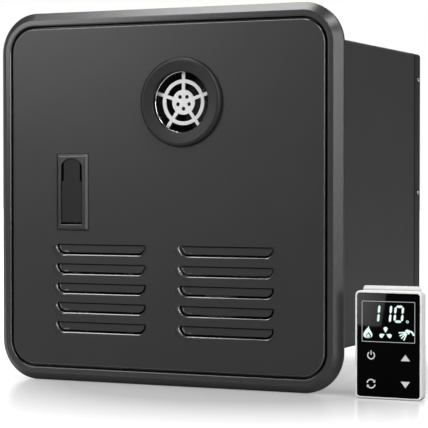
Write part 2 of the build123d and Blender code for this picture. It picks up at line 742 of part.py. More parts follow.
with BuildPart() as latch_lever:
    with BuildSketch(at_depth(LEVER_BACK).shift_origin((LATCH_X, LEVER_BACK, 0))):
        make_face(arch_outline(LEVER_TONGUE_W, LEVER_BOTTOM, 0))
        with Locations((0, (LEVER_BOTTOM + LEVER_PIN_Z) / 2)):
            Rectangle(LEVER_W, LEVER_PIN_Z - LEVER_BOTTOM)
    extrude(amount=LEVER_T)
    rod_x(LEVER_PIN_Y, LEVER_PIN_Z, LEVER_HUB_R, about(LATCH_X, LEVER_HUB_L))
    rod_y(LATCH_X, LEVER_PIN_Z, HEEL_NECK_R, (LEVER_PIN_Y, BOLT_MID))
    with Locations((LATCH_X, BOLT_MID, LEVER_PIN_Z)):
        Sphere(HEEL_BALL_R)
    rod_x(
        LEVER_PIN_Y, LEVER_PIN_Z, LEVER_PIN_R + LEVER_PIN_PLAY, about(LATCH_X, CUP_W), Mode.SUBTRACT
    )

with BuildPart() as latch_bolt:
    block((LATCH_X - GUIDE_LEFT, BOLT_END), (BOLT_FRONT, BOLT_BACK), (BOLT_BOTTOM, BOLT_TOP))
    block((BOLT_TIP, LATCH_X - GUIDE_LEFT), (BOLT_FRONT, BOLT_BACK), about(BOLT_Z, BOLT_NOSE_H))
    with BuildSketch(at_depth(BOLT_BACK)):
        with Locations((LATCH_X - BOLT_TRAVEL / 2, LEVER_PIN_Z - HEEL_DROP / 2)):
            SlotCenterToCenter(
                hypot(BOLT_TRAVEL, HEEL_DROP),
                2 * HEEL_SLOT_R,
                rotation=degrees(atan2(HEEL_DROP, BOLT_TRAVEL)),
            )
    extrude(amount=BOLT_T, mode=Mode.SUBTRACT)

with BuildPart() as bolt_guides:
    strap = (BOLT_BACK + GUIDE_GAP, BOLT_BACK + GUIDE_GAP + GUIDE_T)
    nose_span = about(BOLT_Z, BOLT_NOSE_H + 2 * GUIDE_GAP)
    tail_span = (BOLT_BOTTOM - GUIDE_GAP, BOLT_TOP + GUIDE_GAP)
    nose_x = LATCH_X - GUIDE_LEFT - BOLT_TRAVEL - GUIDE_GAP - GUIDE_W / 2
    for middle, (low, high) in ((nose_x, nose_span), (LATCH_X + GUIDE_RIGHT, tail_span)):
        width = about(middle, GUIDE_W)
        block(width, strap, (low - GUIDE_T, high + GUIDE_T))
        block(width, (DOOR_BACK, strap[0]), (low - GUIDE_T, low))
        block(width, (DOOR_BACK, strap[0]), (high, high + GUIDE_T))


def case_outline(inset):
    """The case's outer outline, drawn in by inset."""
    with Locations((0, CASE_MID)):
        RectangleRounded(2 * (CASE_X - inset), CASE_H - 2 * inset, CASE_CORNER_R - inset)


def cover_screw_spots():
    """Places round the rear cover's flange, as an outward direction and a point on the case."""
    for turn in (-COVER_SCREW_SPREAD, 0, COVER_SCREW_SPREAD):
        yield (1, 0), (CASE_X, CASE_MID + turn)
        yield (-1, 0), (-CASE_X, CASE_MID + turn)
        yield (0, 1), (turn, CASE_TOP)
        yield (0, -1), (turn, CASE_BOTTOM)


def cover_screw(direction, spot, radius, outside, depth, mode=Mode.ADD):
    """A cylinder through the cover's flange, from outside the case to a depth inside it."""
    middle = (outside - depth) / 2
    place = (spot[0] + direction[0] * middle, COVER_Y + COVER_SCREW_Y, spot[1] + direction[1] * middle)
    turn = (0, 90, 0) if direction[0] else (0, 0, 0)
    with Locations(place):
        Cylinder(radius, outside + depth, rotation=turn, mode=mode)


with BuildPart() as case_wrap:
    wrap_back = COVER_Y - COVER_GROOVE
    tongue_back = COVER_Y + TONGUE_REACH
    with BuildSketch(at_depth(wrap_back)):
        case_outline(0)
    extrude(amount=wrap_back)
    with BuildSketch(at_depth(tongue_back)):
        case_outline(CASE_SHEET)
    extrude(amount=tongue_back)
    # The inside is plain up to the joggled tongue, which narrows it by one sheet.
    with BuildSketch(at_depth(wrap_back - TONGUE_LAP)):
        case_outline(CASE_SHEET)
    extrude(amount=wrap_back - TONGUE_LAP - CASE_SHEET, mode=Mode.SUBTRACT)
    with BuildSketch(at_depth(tongue_back)):
        case_outline(2 * CASE_SHEET)
    extrude(amount=tongue_back - CASE_SHEET, mode=Mode.SUBTRACT)
    # The front flange turns inwards and lies behind the frame's seat flange.
    block((-WINDOW_X, WINDOW_X), (0, CASE_SHEET), (WINDOW_BOTTOM, WINDOW_TOP), Mode.SUBTRACT)
    strike_notch()
    for x, z in flange_screw_spots():
        rod_y(x, z, SCREW_R, (0, CASE_SHEET), Mode.SUBTRACT)
    for direction, spot in cover_screw_spots():
        cover_screw(direction, spot, SCREW_R, 0, SCREW_L, Mode.SUBTRACT)

# Rear fittings
PIPE_X = STACK_RIGHT + TUBE_END + ELBOW_R
COLD_Z = FLOOR + COLD_RISE
VALVE_MID = LEFT + VALVE_X
GAS_Z = FLOOR + GAS_PIPE_Z
GROMMET_SPOT = (LEFT + GROMMET_X, FLOOR + GROMMET_Z)

with BuildPart() as rear_cover:
    with BuildSketch(at_depth(CASE_DEPTH)):
        case_outline(0)
    extrude(amount=COVER_FLANGE)
    with BuildSketch(at_depth(COVER_INSIDE)):
        case_outline(CASE_SHEET)
    extrude(amount=COVER_FLANGE - CASE_SHEET, mode=Mode.SUBTRACT)
    for direction, spot in cover_screw_spots():
        cover_screw(direction, spot, SCREW_R, 0, SCREW_L, Mode.SUBTRACT)
    through = (COVER_INSIDE, CASE_DEPTH)
    for z in (COLD_Z, TUBE_Z):
        rod_y(PIPE_X, z, WATER_SPIGOT_R + FITTING_FIT, through, Mode.SUBTRACT)
    rod_y(VALVE_MID, GAS_Z, GAS_THREAD_R + FITTING_FIT, through, Mode.SUBTRACT)
    rod_y(*GROMMET_SPOT, GROMMET_HOLE_R, through, Mode.SUBTRACT)

with BuildPart() as cover_screws:
    for direction, spot in cover_screw_spots():
        cover_screw(direction, spot, SCREW_HEAD_R, SCREW_HEAD_H, 0)
        cover_screw(direction, spot, SCREW_R, 0, SCREW_L)

with BuildPart() as cable_grommet:
    rod_y(*GROMMET_SPOT, GROMMET_HOLE_R, through)
    lip_r = GROMMET_HOLE_R + GROMMET_LIP
    rod_y(*GROMMET_SPOT, lip_r, (COVER_INSIDE - GROMMET_LIP_T, COVER_INSIDE))
    rod_y(*GROMMET_SPOT, lip_r, (CASE_DEPTH, CASE_DEPTH + GROMMET_LIP_T))
    bore = (COVER_INSIDE - GROMMET_LIP_T, CASE_DEPTH + GROMMET_LIP_T)
    rod_y(*GROMMET_SPOT, GROMMET_R, bore, Mode.SUBTRACT)

# Support rails carry the burner tray from the case floor.
with BuildPart() as support_rails:
    rail_y = (STACK_FRONT + RAIL_INSET, STACK_BACK - RAIL_INSET)
    for edge, side in ((STACK_LEFT, -1), (STACK_RIGHT, 1)):
        plate = sorted((edge, edge + side * RAIL_T))
        foot = sorted((edge, edge + side * RAIL_FOOT))
        block(plate, rail_y, (FLOOR, TRAY_Z + RAIL_LAP))
        block(foot, rail_y, (FLOOR, FLOOR + RAIL_T))

# Blower, with its axis along Y under the burner tray
SCROLL_R = (TRAY_Z - FLOOR - BLOWER_FOOT - BLOWER_DUCT_RISE) / 2
BLOWER_Z = FLOOR + BLOWER_FOOT + SCROLL_R
BLOWER_FRONT = STACK_FRONT + BLOWER_Y
BLOWER_BACK = BLOWER_FRONT + BLOWER_L
SCROLL_INSIDE_Y = (BLOWER_FRONT + BLOWER_WALL, BLOWER_BACK - BLOWER_WALL)
DUCT_X = (STACK_X + SCROLL_R - DUCT_W, STACK_X + SCROLL_R)
DUCT_INSIDE_X = (DUCT_X[0] + BLOWER_WALL, DUCT_X[1] - BLOWER_WALL)
IMPELLER_R = SCROLL_R - BLOWER_WALL - IMPELLER_R_GAP
IMPELLER_Y = (SCROLL_INSIDE_Y[0] + IMPELLER_GAP, SCROLL_INSIDE_Y[1] - IMPELLER_GAP)

with BuildPart() as blower_housing:
    rod_y(STACK_X, BLOWER_Z, SCROLL_R, (BLOWER_FRONT, BLOWER_BACK))
    block(DUCT_X, (BLOWER_FRONT, BLOWER_BACK), (BLOWER_Z, TRAY_Z))
    block(about(STACK_X, BLOWER_FOOT_W), (BLOWER_FRONT, BLOWER_BACK), (FLOOR, BLOWER_Z - SCROLL_R / 2))
    rod_y(STACK_X, BLOWER_Z, SCROLL_R - BLOWER_WALL, SCROLL_INSIDE_Y, Mode.SUBTRACT)
    block(DUCT_INSIDE_X, SCROLL_INSIDE_Y, (BLOWER_Z, TRAY_Z), Mode.SUBTRACT)
    rod_y(STACK_X, BLOWER_Z, BLOWER_INLET_R, (SCROLL_INSIDE_Y[1], BLOWER_BACK), Mode.SUBTRACT)
    shaft_hole = (BLOWER_FRONT, SCROLL_INSIDE_Y[0])
    rod_y(STACK_X, BLOWER_Z, SHAFT_R + IMPELLER_GAP, shaft_hole, Mode.SUBTRACT)

with BuildPart() as blower_motor:
    motor_y = (BLOWER_FRONT - MOTOR_L, BLOWER_FRONT)
    rod_y(STACK_X, BLOWER_Z, MOTOR_R, motor_y)
    chamfer(blower_motor.faces().sort_by(Axis.Y)[0].edges(), MOTOR_CHAMFER)
    shaft_bore = (motor_y[0] + MOTOR_CAP, motor_y[1])
    rod_y(STACK_X, BLOWER_Z, SHAFT_R + SHAFT_PLAY, shaft_bore, Mode.SUBTRACT)

with BuildPart() as blower_shaft:
    rod_y(STACK_X, BLOWER_Z, SHAFT_R, (shaft_bore[0] + SHAFT_PLAY, IMPELLER_Y[1]))

with BuildPart() as blower_impeller:
    disc_y = (IMPELLER_Y[0], IMPELLER_Y[0] + IMPELLER_DISC_T)
    ring_y = (IMPELLER_Y[1] - IMPELLER_DISC_T, IMPELLER_Y[1])
    rod_y(STACK_X, BLOWER_Z, IMPELLER_R, ring_y)
    rod_y(STACK_X, BLOWER_Z, IMPELLER_R - IMPELLER_BLADE_W, ring_y, Mode.SUBTRACT)
    rod_y(STACK_X, BLOWER_Z, IMPELLER_R, disc_y)
    rod_y(STACK_X, BLOWER_Z, IMPELLER_HUB_R, IMPELLER_Y)
    impeller_plane = at_depth(IMPELLER_Y[1]).shift_origin((STACK_X, IMPELLER_Y[1], BLOWER_Z))
    with BuildSketch(impeller_plane):
        with PolarLocations(IMPELLER_R - IMPELLER_BLADE_W / 2, IMPELLER_BLADES):
            Rectangle(IMPELLER_BLADE_W, IMPELLER_BLADE_T)
    extrude(amount=IMPELLER_Y[1] - IMPELLER_Y[0])
    rod_y(STACK_X, BLOWER_Z, SHAFT_R, IMPELLER_Y, Mode.SUBTRACT)

# Burner tray, blades and gas line
MANIFOLD_Y = STACK_FRONT - MANIFOLD_OFFSET
MANIFOLD_Z = (TRAY_Z + CHAMBER_Z) / 2
BURNER_PITCH = (STACK_INSIDE_X[1] - STACK_INSIDE_X[0]) / BURNER_COUNT
BURNER_X = [STACK_INSIDE_X[0] + (i + 0.5) * BURNER_PITCH for i in range(BURNER_COUNT)]

with BuildPart() as burner_tray:
    block(STACK_LIMITS_X, STACK_LIMITS_Y, (TRAY_Z, CHAMBER_Z))
    block(STACK_INSIDE_X, STACK_INSIDE_Y, (TRAY_Z + STACK_SHEET, CHAMBER_Z), Mode.SUBTRACT)
    block(DUCT_INSIDE_X, SCROLL_INSIDE_Y, (TRAY_Z, TRAY_Z + STACK_SHEET), Mode.SUBTRACT)
    front_wall = (STACK_FRONT, STACK_FRONT + STACK_SHEET)
    for x in BURNER_X:
        rod_y(x, MANIFOLD_Z, NOZZLE_R + NOZZLE_PLAY, front_wall, Mode.SUBTRACT)

with BuildPart() as burner_blades:
    blade_y = (STACK_INSIDE_Y[0] + BURNER_END, STACK_INSIDE_Y[1] - BURNER_END)
    blade_z = (TRAY_Z + STACK_SHEET, TRAY_Z + STACK_SHEET + BURNER_H)
    for x in BURNER_X:
        block(about(x, BURNER_T), blade_y, blade_z)
        rod_y(x, MANIFOLD_Z, BURNER_PORT_R, (blade_y[0], blade_y[0] + BURNER_SHEET), Mode.SUBTRACT)
        blade_hollow_y = (blade_y[0] + BURNER_SHEET, blade_y[1] - BURNER_SHEET)
        blade_hollow_z = (blade_z[0] + BURNER_SHEET, blade_z[1] - BURNER_SHEET)
        block(about(x, BURNER_T - 2 * BURNER_SHEET), blade_hollow_y, blade_hollow_z, Mode.SUBTRACT)
    fillet(burner_blades.faces().group_by(Axis.Z)[-1].edges().filter_by(Axis.Y), BURNER_EDGE_R)

VALVE_TOP = MANIFOLD_Z - VALVE_DROP
VALVE_FRONT = MANIFOLD_Y - VALVE_D / 2
VALVE_BACK = MANIFOLD_Y + VALVE_D / 2
PLUNGER_Z = FLOOR + COIL_Z

with BuildPart() as gas_valve:
    valve_y = (VALVE_FRONT, VALVE_BACK)
    block(about(VALVE_MID, VALVE_W), valve_y, (FLOOR, VALVE_TOP))
    chamfer(gas_valve.edges().filter_by(Axis.Z), VALVE_CHAMFER)
    block(about(VALVE_MID, VALVE_W + 2 * VALVE_FOOT), valve_y, (FLOOR, FLOOR + VALVE_FOOT_T))
    plunger_bore = (VALVE_FRONT, VALVE_FRONT + PLUNGER_IN + PLUNGER_TRAVEL + PLUNGER_END_GAP)
    rod_y(VALVE_MID, PLUNGER_Z, PLUNGER_R + PLUNGER_PLAY, plunger_bore, Mode.SUBTRACT)

with BuildPart() as gas_manifold:
    rod_x(MANIFOLD_Y, MANIFOLD_Z, MANIFOLD_R, (VALVE_MID, STACK_RIGHT))
    with Locations((VALVE_MID, MANIFOLD_Y, MANIFOLD_Z)):
        Sphere(MANIFOLD_R)
    rod_z(VALVE_MID, MANIFOLD_Y, MANIFOLD_R, (VALVE_TOP, MANIFOLD_Z))
    for x in BURNER_X:
        rod_y(x, MANIFOLD_Z, NOZZLE_R, (MANIFOLD_Y, STACK_FRONT + NOZZLE_REACH))

with BuildPart() as solenoid_coil:
    coil_y = (VALVE_FRONT - COIL_L, VALVE_FRONT)
    rod_y(VALVE_MID, PLUNGER_Z, COIL_R, coil_y)
    chamfer(solenoid_coil.faces().sort_by(Axis.Y)[0].edges(), COIL_CHAMFER)
    rod_y(VALVE_MID, PLUNGER_Z, PLUNGER_R + PLUNGER_PLAY, coil_y, Mode.SUBTRACT)

with BuildPart() as solenoid_plunger:
    plunger_y = (coil_y[0] - PLUNGER_OUT - PLUNGER_TRAVEL, VALVE_FRONT + PLUNGER_IN)
    rod_y(VALVE_MID, PLUNGER_Z, PLUNGER_R, plunger_y)

with BuildPart() as gas_pipe:
    pipe_y = (VALVE_BACK, COVER_INSIDE - FITTING_INSIDE)
    rod_y(VALVE_MID, GAS_Z, GAS_PIPE_R, pipe_y)
    rod_y(VALVE_MID, GAS_Z, GAS_BORE_R, pipe_y, Mode.SUBTRACT)

with BuildPart() as gas_inlet:
    hex_back = CASE_DEPTH + FITTING_FLANGE_T
    rod_y(VALVE_MID, GAS_Z, GAS_THREAD_R, (COVER_INSIDE - FITTING_INSIDE, hex_back + GAS_THREAD_L))
    hex_y(VALVE_MID, GAS_Z, GAS_HEX_R, (CASE_DEPTH, hex_back))
    rod_y(
        VALVE_MID,
        GAS_Z,
        GAS_BORE_R,
        (COVER_INSIDE - FITTING_INSIDE, hex_back + GAS_THREAD_L),
        Mode.SUBTRACT,
    )

# Combustion chamber with its electrodes
ELECTRODE_Z = CHAMBER_Z + ELECTRODE_RISE
ELECTRODE_X = about(STACK_X, ELECTRODE_SPREAD)

with BuildPart() as combustion_chamber:
    block(STACK_LIMITS_X, STACK_LIMITS_Y, (CHAMBER_Z, EXCHANGER_Z))
    block(STACK_INSIDE_X, STACK_INSIDE_Y, (CHAMBER_Z, EXCHANGER_Z), Mode.SUBTRACT)
    for x in ELECTRODE_X:
        rod_y(x, ELECTRODE_Z, ELECTRODE_R + ELECTRODE_FIT, front_wall, Mode.SUBTRACT)

with BuildPart() as electrodes:
    plate_y = (STACK_FRONT - ELECTRODE_PLATE_T, STACK_FRONT)
    block(about(STACK_X, ELECTRODE_PLATE_W), plate_y, about(ELECTRODE_Z, ELECTRODE_PLATE_H))
    insulator_y = (STACK_FRONT - ELECTRODE_OUT, STACK_INSIDE_Y[0] + ELECTRODE_R)
    for x in ELECTRODE_X:
        rod_y(x, ELECTRODE_Z, ELECTRODE_R, insulator_y)
        rod_y(x, ELECTRODE_Z, ELECTRODE_TIP_R, (STACK_FRONT, STACK_FRONT + ELECTRODE_REACH))

with BuildPart() as spark_module:
    block(about(STACK_X, SPARK_W), (SPARK_Y, SPARK_Y + SPARK_D), (FLOOR, FLOOR + SPARK_H))
    fillet(spark_module.edges().filter_by(Axis.Z), SPARK_CORNER_R)

# Heat exchanger: a shell, fins across X and a tube that passes through them in a serpentine
TUBE_PITCH = (STACK_INSIDE_Y[1] - STACK_INSIDE_Y[0]) / TUBE_PASSES
TUBE_Y = [STACK_INSIDE_Y[0] + (i + 0.5) * TUBE_PITCH for i in range(TUBE_PASSES)]
BEND_LEFT = STACK_LEFT - BEND_LEAD
BEND_RIGHT = STACK_RIGHT + BEND_LEAD
FIN_PITCH = (STACK_INSIDE_X[1] - STACK_INSIDE_X[0]) / FIN_COUNT

with BuildPart() as exchanger_shell:
    block(STACK_LIMITS_X, STACK_LIMITS_Y, (EXCHANGER_Z, HOOD_Z))
    block(STACK_INSIDE_X, STACK_INSIDE_Y, (EXCHANGER_Z, HOOD_Z), Mode.SUBTRACT)
    for y in TUBE_Y:
        rod_x(y, TUBE_Z, TUBE_R + TUBE_FIT, STACK_LIMITS_X, Mode.SUBTRACT)

with BuildPart() as exchanger_fins:
    for i in range(FIN_COUNT):
        fin_x = about(STACK_INSIDE_X[0] + (i + 0.5) * FIN_PITCH, FIN_T)
        fin_y = (STACK_INSIDE_Y[0] + FIN_GAP, STACK_INSIDE_Y[1] - FIN_GAP)
        block(fin_x, fin_y, (EXCHANGER_Z, HOOD_Z))
    for y in TUBE_Y:
        rod_x(y, TUBE_Z, TUBE_R + TUBE_FIT, STACK_INSIDE_X, Mode.SUBTRACT)


def coil_path():
    """The serpentine's middle line, which starts and ends on the right."""
    with BuildLine() as path:
        Line((STACK_RIGHT + TUBE_END, TUBE_Y[0], TUBE_Z), (BEND_LEFT, TUBE_Y[0], TUBE_Z))
        for i in range(TUBE_PASSES - 1):
            outward = -1 if i % 2 == 0 else 1
            start = BEND_LEFT if i % 2 == 0 else BEND_RIGHT
            finish = BEND_RIGHT if i % 2 == 0 else BEND_LEFT
            if i == TUBE_PASSES - 2:
                finish = STACK_RIGHT + TUBE_END
            crown = (start + outward * TUBE_PITCH / 2, TUBE_Y[i] + TUBE_PITCH / 2, TUBE_Z)
            ThreePointArc((start, TUBE_Y[i], TUBE_Z), crown, (start, TUBE_Y[i + 1], TUBE_Z))
            Line((start, TUBE_Y[i + 1], TUBE_Z), (finish, TUBE_Y[i + 1], TUBE_Z))
    return path.wires()[0]


def pipe_along(path, radius, mode=Mode.ADD):
    """A round bar of a radius along a path."""
    with BuildSketch(Plane(origin=path @ 0, z_dir=path % 0)) as section:
        Circle(radius)
    sweep(section.sketch, path=path, mode=mode)


with BuildPart() as water_coil:
    serpentine = coil_path()
    pipe_along(serpentine, TUBE_R)
    pipe_along(serpentine, TUBE_R - TUBE_WALL, Mode.SUBTRACT)

SENSOR_Y = (TUBE_Y[0] + SENSOR_START, TUBE_Y[0] + SENSOR_START + SENSOR_L)

with BuildPart() as inlet_pipe:
    with BuildLine() as inlet_route:
        FilletPolyline(
            (STACK_RIGHT + TUBE_END, TUBE_Y[0], TUBE_Z),
            (PIPE_X, TUBE_Y[0], TUBE_Z),
            (PIPE_X, TUBE_Y[0], COLD_Z),
            (PIPE_X, SENSOR_Y[0], COLD_Z),
            radius=ELBOW_R - TUBE_FIT,
        )
    pipe_along(inlet_route.wires()[0], TUBE_R)
    pipe_along(inlet_route.wires()[0], TUBE_R - TUBE_WALL, Mode.SUBTRACT)

with BuildPart() as outlet_pipe:
    with BuildLine() as outlet_route:
        FilletPolyline(
            (STACK_RIGHT + TUBE_END, TUBE_Y[-1], TUBE_Z),
            (PIPE_X, TUBE_Y[-1], TUBE_Z),
            (PIPE_X, COVER_INSIDE - FITTING_INSIDE, TUBE_Z),
            radius=ELBOW_R - TUBE_FIT,
        )
    pipe_along(outlet_route.wires()[0], TUBE_R)
    pipe_along(outlet_route.wires()[0], TUBE_R - TUBE_WALL, Mode.SUBTRACT)

with BuildPart() as cold_pipe:
    cold_y = (SENSOR_Y[1], COVER_INSIDE - FITTING_INSIDE)
    rod_y(PIPE_X, COLD_Z, TUBE_R, cold_y)
    rod_y(PIPE_X, COLD_Z, TUBE_R - TUBE_WALL, cold_y, Mode.SUBTRACT)

SPIDERS = [
    (SENSOR_Y[0] + SENSOR_SPIDER_INSET, SENSOR_Y[0] + SENSOR_SPIDER_INSET + SENSOR_SPIDER_T),
    (SENSOR_Y[1] - SENSOR_SPIDER_INSET - SENSOR_SPIDER_T, SENSOR_Y[1] - SENSOR_SPIDER_INSET),
]

with BuildPart() as flow_sensor:
    rod_y(PIPE_X, COLD_Z, SENSOR_R, SENSOR_Y)
    block(about(PIPE_X, SENSOR_R), SENSOR_Y, (COLD_Z, COLD_Z + SENSOR_R + SENSOR_SPIDER_T))
    rod_y(PIPE_X, COLD_Z, SENSOR_BORE_R, (SPIDERS[0][1], SPIDERS[1][0]), Mode.SUBTRACT)
    rod_y(PIPE_X, COLD_Z, TUBE_R - TUBE_WALL, (SENSOR_Y[0], SPIDERS[0][1]), Mode.SUBTRACT)
    rod_y(PIPE_X, COLD_Z, TUBE_R - TUBE_WALL, (SPIDERS[1][0], SENSOR_Y[1]), Mode.SUBTRACT)
    for spider in SPIDERS:
        block(about(PIPE_X, 2 * TUBE_R), spider, about(COLD_Z, SENSOR_SPIDER_W))
        block(about(PIPE_X, SENSOR_SPIDER_W), spider, about(COLD_Z, 2 * TUBE_R))
        rod_y(PIPE_X, COLD_Z, SENSOR_AXLE_R + ROTOR_PLAY, spider, Mode.SUBTRACT)
    drain_top = COLD_Z - SENSOR_R + DRAIN_L
    drain_y = SENSOR_Y[1] - SENSOR_SPIDER_INSET / 2
    rod_z(PIPE_X, drain_y, DRAIN_R + DRAIN_FIT, (COLD_Z - SENSOR_R, drain_top), Mode.SUBTRACT)

with BuildPart() as flow_rotor:
    rotor_y = (SPIDERS[0][1] + ROTOR_END_GAP, SPIDERS[1][0] - ROTOR_END_GAP)
    rod_y(PIPE_X, COLD_Z, SENSOR_AXLE_R, (SPIDERS[0][0], SPIDERS[1][1]))
    rod_y(PIPE_X, COLD_Z, ROTOR_HUB_R, rotor_y)
    vane_r = SENSOR_BORE_R - ROTOR_TIP_GAP
    rotor_plane = at_depth(rotor_y[1]).shift_origin((PIPE_X, rotor_y[1], COLD_Z))
    with BuildSketch(rotor_plane):
        with PolarLocations(vane_r / 2, ROTOR_BLADES):
            Rectangle(vane_r, ROTOR_BLADE_T)
    extrude(amount=rotor_y[1] - rotor_y[0])

with BuildPart() as drain_plug:
    rod_z(PIPE_X, drain_y, DRAIN_R, (COLD_Z - SENSOR_R - DRAIN_HEAD_T, drain_top))
    rod_z(PIPE_X, drain_y, DRAIN_HEAD_R, (COLD_Z - SENSOR_R - DRAIN_HEAD_T, COLD_Z - SENSOR_R))


def water_fitting(z):
    """A threaded water nipple with a hexagon outside the rear cover and a spigot through it."""
    hexagon = (CASE_DEPTH, CASE_DEPTH + FITTING_FLANGE_T)
    end = hexagon[1] + WATER_THREAD_L
    rod_y(PIPE_X, z, WATER_SPIGOT_R, (COVER_INSIDE - FITTING_INSIDE, CASE_DEPTH))
    hex_y(PIPE_X, z, WATER_HEX_R, hexagon)
    rod_y(PIPE_X, z, WATER_THREAD_R, (hexagon[1], end))
    rod_y(PIPE_X, z, WATER_BORE_R, (COVER_INSIDE - FITTING_INSIDE, end), Mode.SUBTRACT)


with BuildPart() as cold_inlet:
    water_fitting(COLD_Z)

with BuildPart() as hot_outlet:
    water_fitting(TUBE_Z)

with BuildPart() as flue_hood:
    for inset, mode in ((0, Mode.ADD), (STACK_SHEET, Mode.SUBTRACT)):
        with BuildSketch(at_depth(STACK_BACK - inset)) as hood_outline:
            with Locations((STACK_X, (HOOD_Z + HOOD_TOP - inset) / 2)):
                Rectangle(STACK_RIGHT - STACK_LEFT - 2 * inset, HOOD_TOP - inset - HOOD_Z)
            chamfer(hood_outline.vertices().group_by(Axis.Y)[-1], HOOD_MARGIN)
        extrude(amount=STACK_BACK - STACK_FRONT - 2 * inset, mode=mode)
    rod_y(EXHAUST_X, EXHAUST_Z, FLUE_OUT_R + FLUE_FIT, front_wall, Mode.SUBTRACT)

with BuildPart() as overheat_switches:
    switch_y = STACK_FRONT + CUTOUT_Y
    for edge, side in ((STACK_LEFT, -1), (STACK_RIGHT, 1)):
        tab = sorted((edge, edge + side * CUTOUT_TAB_T))
        can = sorted((edge, edge + side * CUTOUT_T))
        block(tab, about(switch_y, CUTOUT_TAB), about(EXHAUST_Z, CUTOUT_R))
        rod_x(switch_y, EXHAUST_Z, CUTOUT_R, can)

# Control box on the left wall, open to the front above an apron that holds the power rocker
BOX_X = (LEFT, LEFT + BOX_W)
BOX_BACK = BOX_Y + BOX_D
BOX_Z = MANIFOLD_Z + MANIFOLD_R + BOX_CLEAR
BOX_TOP = BOX_Z + BOX_H
ROCKER_X = (BOX_X[0] + BOX_X[1]) / 2
ROCKER_Y = BOX_Y + ROCKER_R - ROCKER_PROUD
ROCKER_Z = BOX_Z + BOX_APRON / 2
BOARD_BACK = BOX_BACK - BOX_WALL - BOARD_STANDOFF
BOARD_FRONT = BOARD_BACK - BOARD_T
BOARD_X = (BOX_X[0] + BOX_WALL + BOARD_GAP, BOX_X[1] - BOX_WALL - BOARD_GAP)
BOARD_Z = (BOX_Z + BOX_APRON + BOARD_GAP, BOX_TOP - BOX_WALL - BOARD_GAP)
BOARD_POSTS = [
    (x, z)
    for x in (BOARD_X[0] + 2 * BOARD_POST_R, BOARD_X[1] - 2 * BOARD_POST_R)
    for z in (BOARD_Z[0] + 2 * BOARD_POST_R, BOARD_Z[1] - 2 * BOARD_POST_R)
]

with BuildPart() as control_box:
    block(BOX_X, (BOX_Y, BOX_BACK), (BOX_Z, BOX_TOP))
    hollow_x = (BOX_X[0] + BOX_WALL, BOX_X[1] - BOX_WALL)
    hollow_y = (BOX_Y + BOX_WALL, BOX_BACK - BOX_WALL)
    hollow_top = BOX_TOP - BOX_WALL
    block(hollow_x, hollow_y, (BOX_Z + BOX_WALL, hollow_top), Mode.SUBTRACT)
    block(hollow_x, (BOX_Y, hollow_y[0]), (BOX_Z + BOX_APRON, hollow_top), Mode.SUBTRACT)
    for x, z in BOARD_POSTS:
        rod_y(x, z, BOARD_POST_R, (BOARD_BACK, BOX_BACK - BOX_WALL))
    # Cheeks behind the apron carry the rocker's pins.
    rocker_side = ROCKER_W / 2 + ROCKER_GAP
    cheek_z = about(ROCKER_Z, 2 * ROCKER_R)
    for side in (-1, 1):
        cheek_x = about(ROCKER_X + side * (rocker_side + ROCKER_CHEEK_T / 2), ROCKER_CHEEK_T)
        block(cheek_x, (BOX_Y, ROCKER_Y + ROCKER_R), cheek_z)
        rod_x(ROCKER_Y, ROCKER_Z, ROCKER_PIN_R + ROCKER_PLAY, cheek_x, Mode.SUBTRACT)
    rod_x(ROCKER_Y, ROCKER_Z, ROCKER_R + ROCKER_GAP, about(ROCKER_X, 2 * rocker_side), Mode.SUBTRACT)

with BuildPart() as power_rocker:
    rod_x(ROCKER_Y, ROCKER_Z, ROCKER_R, about(ROCKER_X, ROCKER_W))
    # Two flats make the rocker's pressed and raised faces, tilted to the off position.
    tilt = radians(ROCKER_TILT)
    rocker_plane = Plane(
        origin=(ROCKER_X - ROCKER_W / 2, ROCKER_Y, ROCKER_Z),
        x_dir=(0, cos(tilt), sin(tilt)),
        z_dir=(1, 0, 0),
    )
    for lean in (-1, 1):
        with BuildSketch(rocker_plane):
            with Locations((-ROCKER_R, lean * ROCKER_R)):
                Rectangle(ROCKER_R, 2 * ROCKER_R, rotation=lean * ROCKER_FACE)
        extrude(amount=ROCKER_W, mode=Mode.SUBTRACT)
    pin_reach = ROCKER_W + 2 * (ROCKER_GAP + ROCKER_PIN_L)
    rod_x(ROCKER_Y, ROCKER_Z, ROCKER_PIN_R, about(ROCKER_X, pin_reach))

with BuildPart() as control_board:
    block(BOARD_X, (BOARD_FRONT, BOARD_BACK), BOARD_Z)
    board_mid = (BOARD_Z[0] + BOARD_Z[1]) / 2
    chip_x = about(ROCKER_X, CHIP_W)
    block(chip_x, (BOARD_FRONT - BOARD_T, BOARD_FRONT), about(board_mid, CHIP_H))
    relay_z = (board_mid - CHIP_H - RELAY_H, board_mid - CHIP_H)
    for side in (-1, 1):
        relay_x = about(ROCKER_X + side * RELAY_W, RELAY_W - BOARD_GAP)
        block(relay_x, (BOARD_FRONT - RELAY_T, BOARD_FRONT), relay_z)

# Wall controller, which stands beside the heater on the same level
PANEL_LEFT = HALF + PANEL_STEP
PANEL_X = PANEL_LEFT + PANEL_W / 2
PANEL_FOOT = -HALF
PANEL_Z = PANEL_FOOT + PANEL_H / 2
PANEL_FRONT = -PANEL_FORWARD
PANEL_BACK = PANEL_FRONT + PANEL_T
GLASS_BACK = PANEL_FRONT + GLASS_T
BACKING_BACK = GLASS_BACK + GLASS_BACKING
PANEL_BOARD_Y = (BACKING_BACK + PANEL_BOARD_GAP, BACKING_BACK + PANEL_BOARD_GAP + PANEL_BOARD_T)
DISPLAY_Z = PANEL_Z + PANEL_H / 2 - PANEL_RIM - DISPLAY_DROP - DISPLAY_H / 2
SOCKET_Z = PANEL_FOOT + SOCKET_RISE
BRACKET_FRONT = PANEL_BACK + BRACKET_GAP
BRACKET_BACK = BRACKET_FRONT + BRACKET_T
HOOK_Z = PANEL_FOOT + HOOK_RISE
HOOK_X = about(PANEL_X, HOOK_SPREAD)
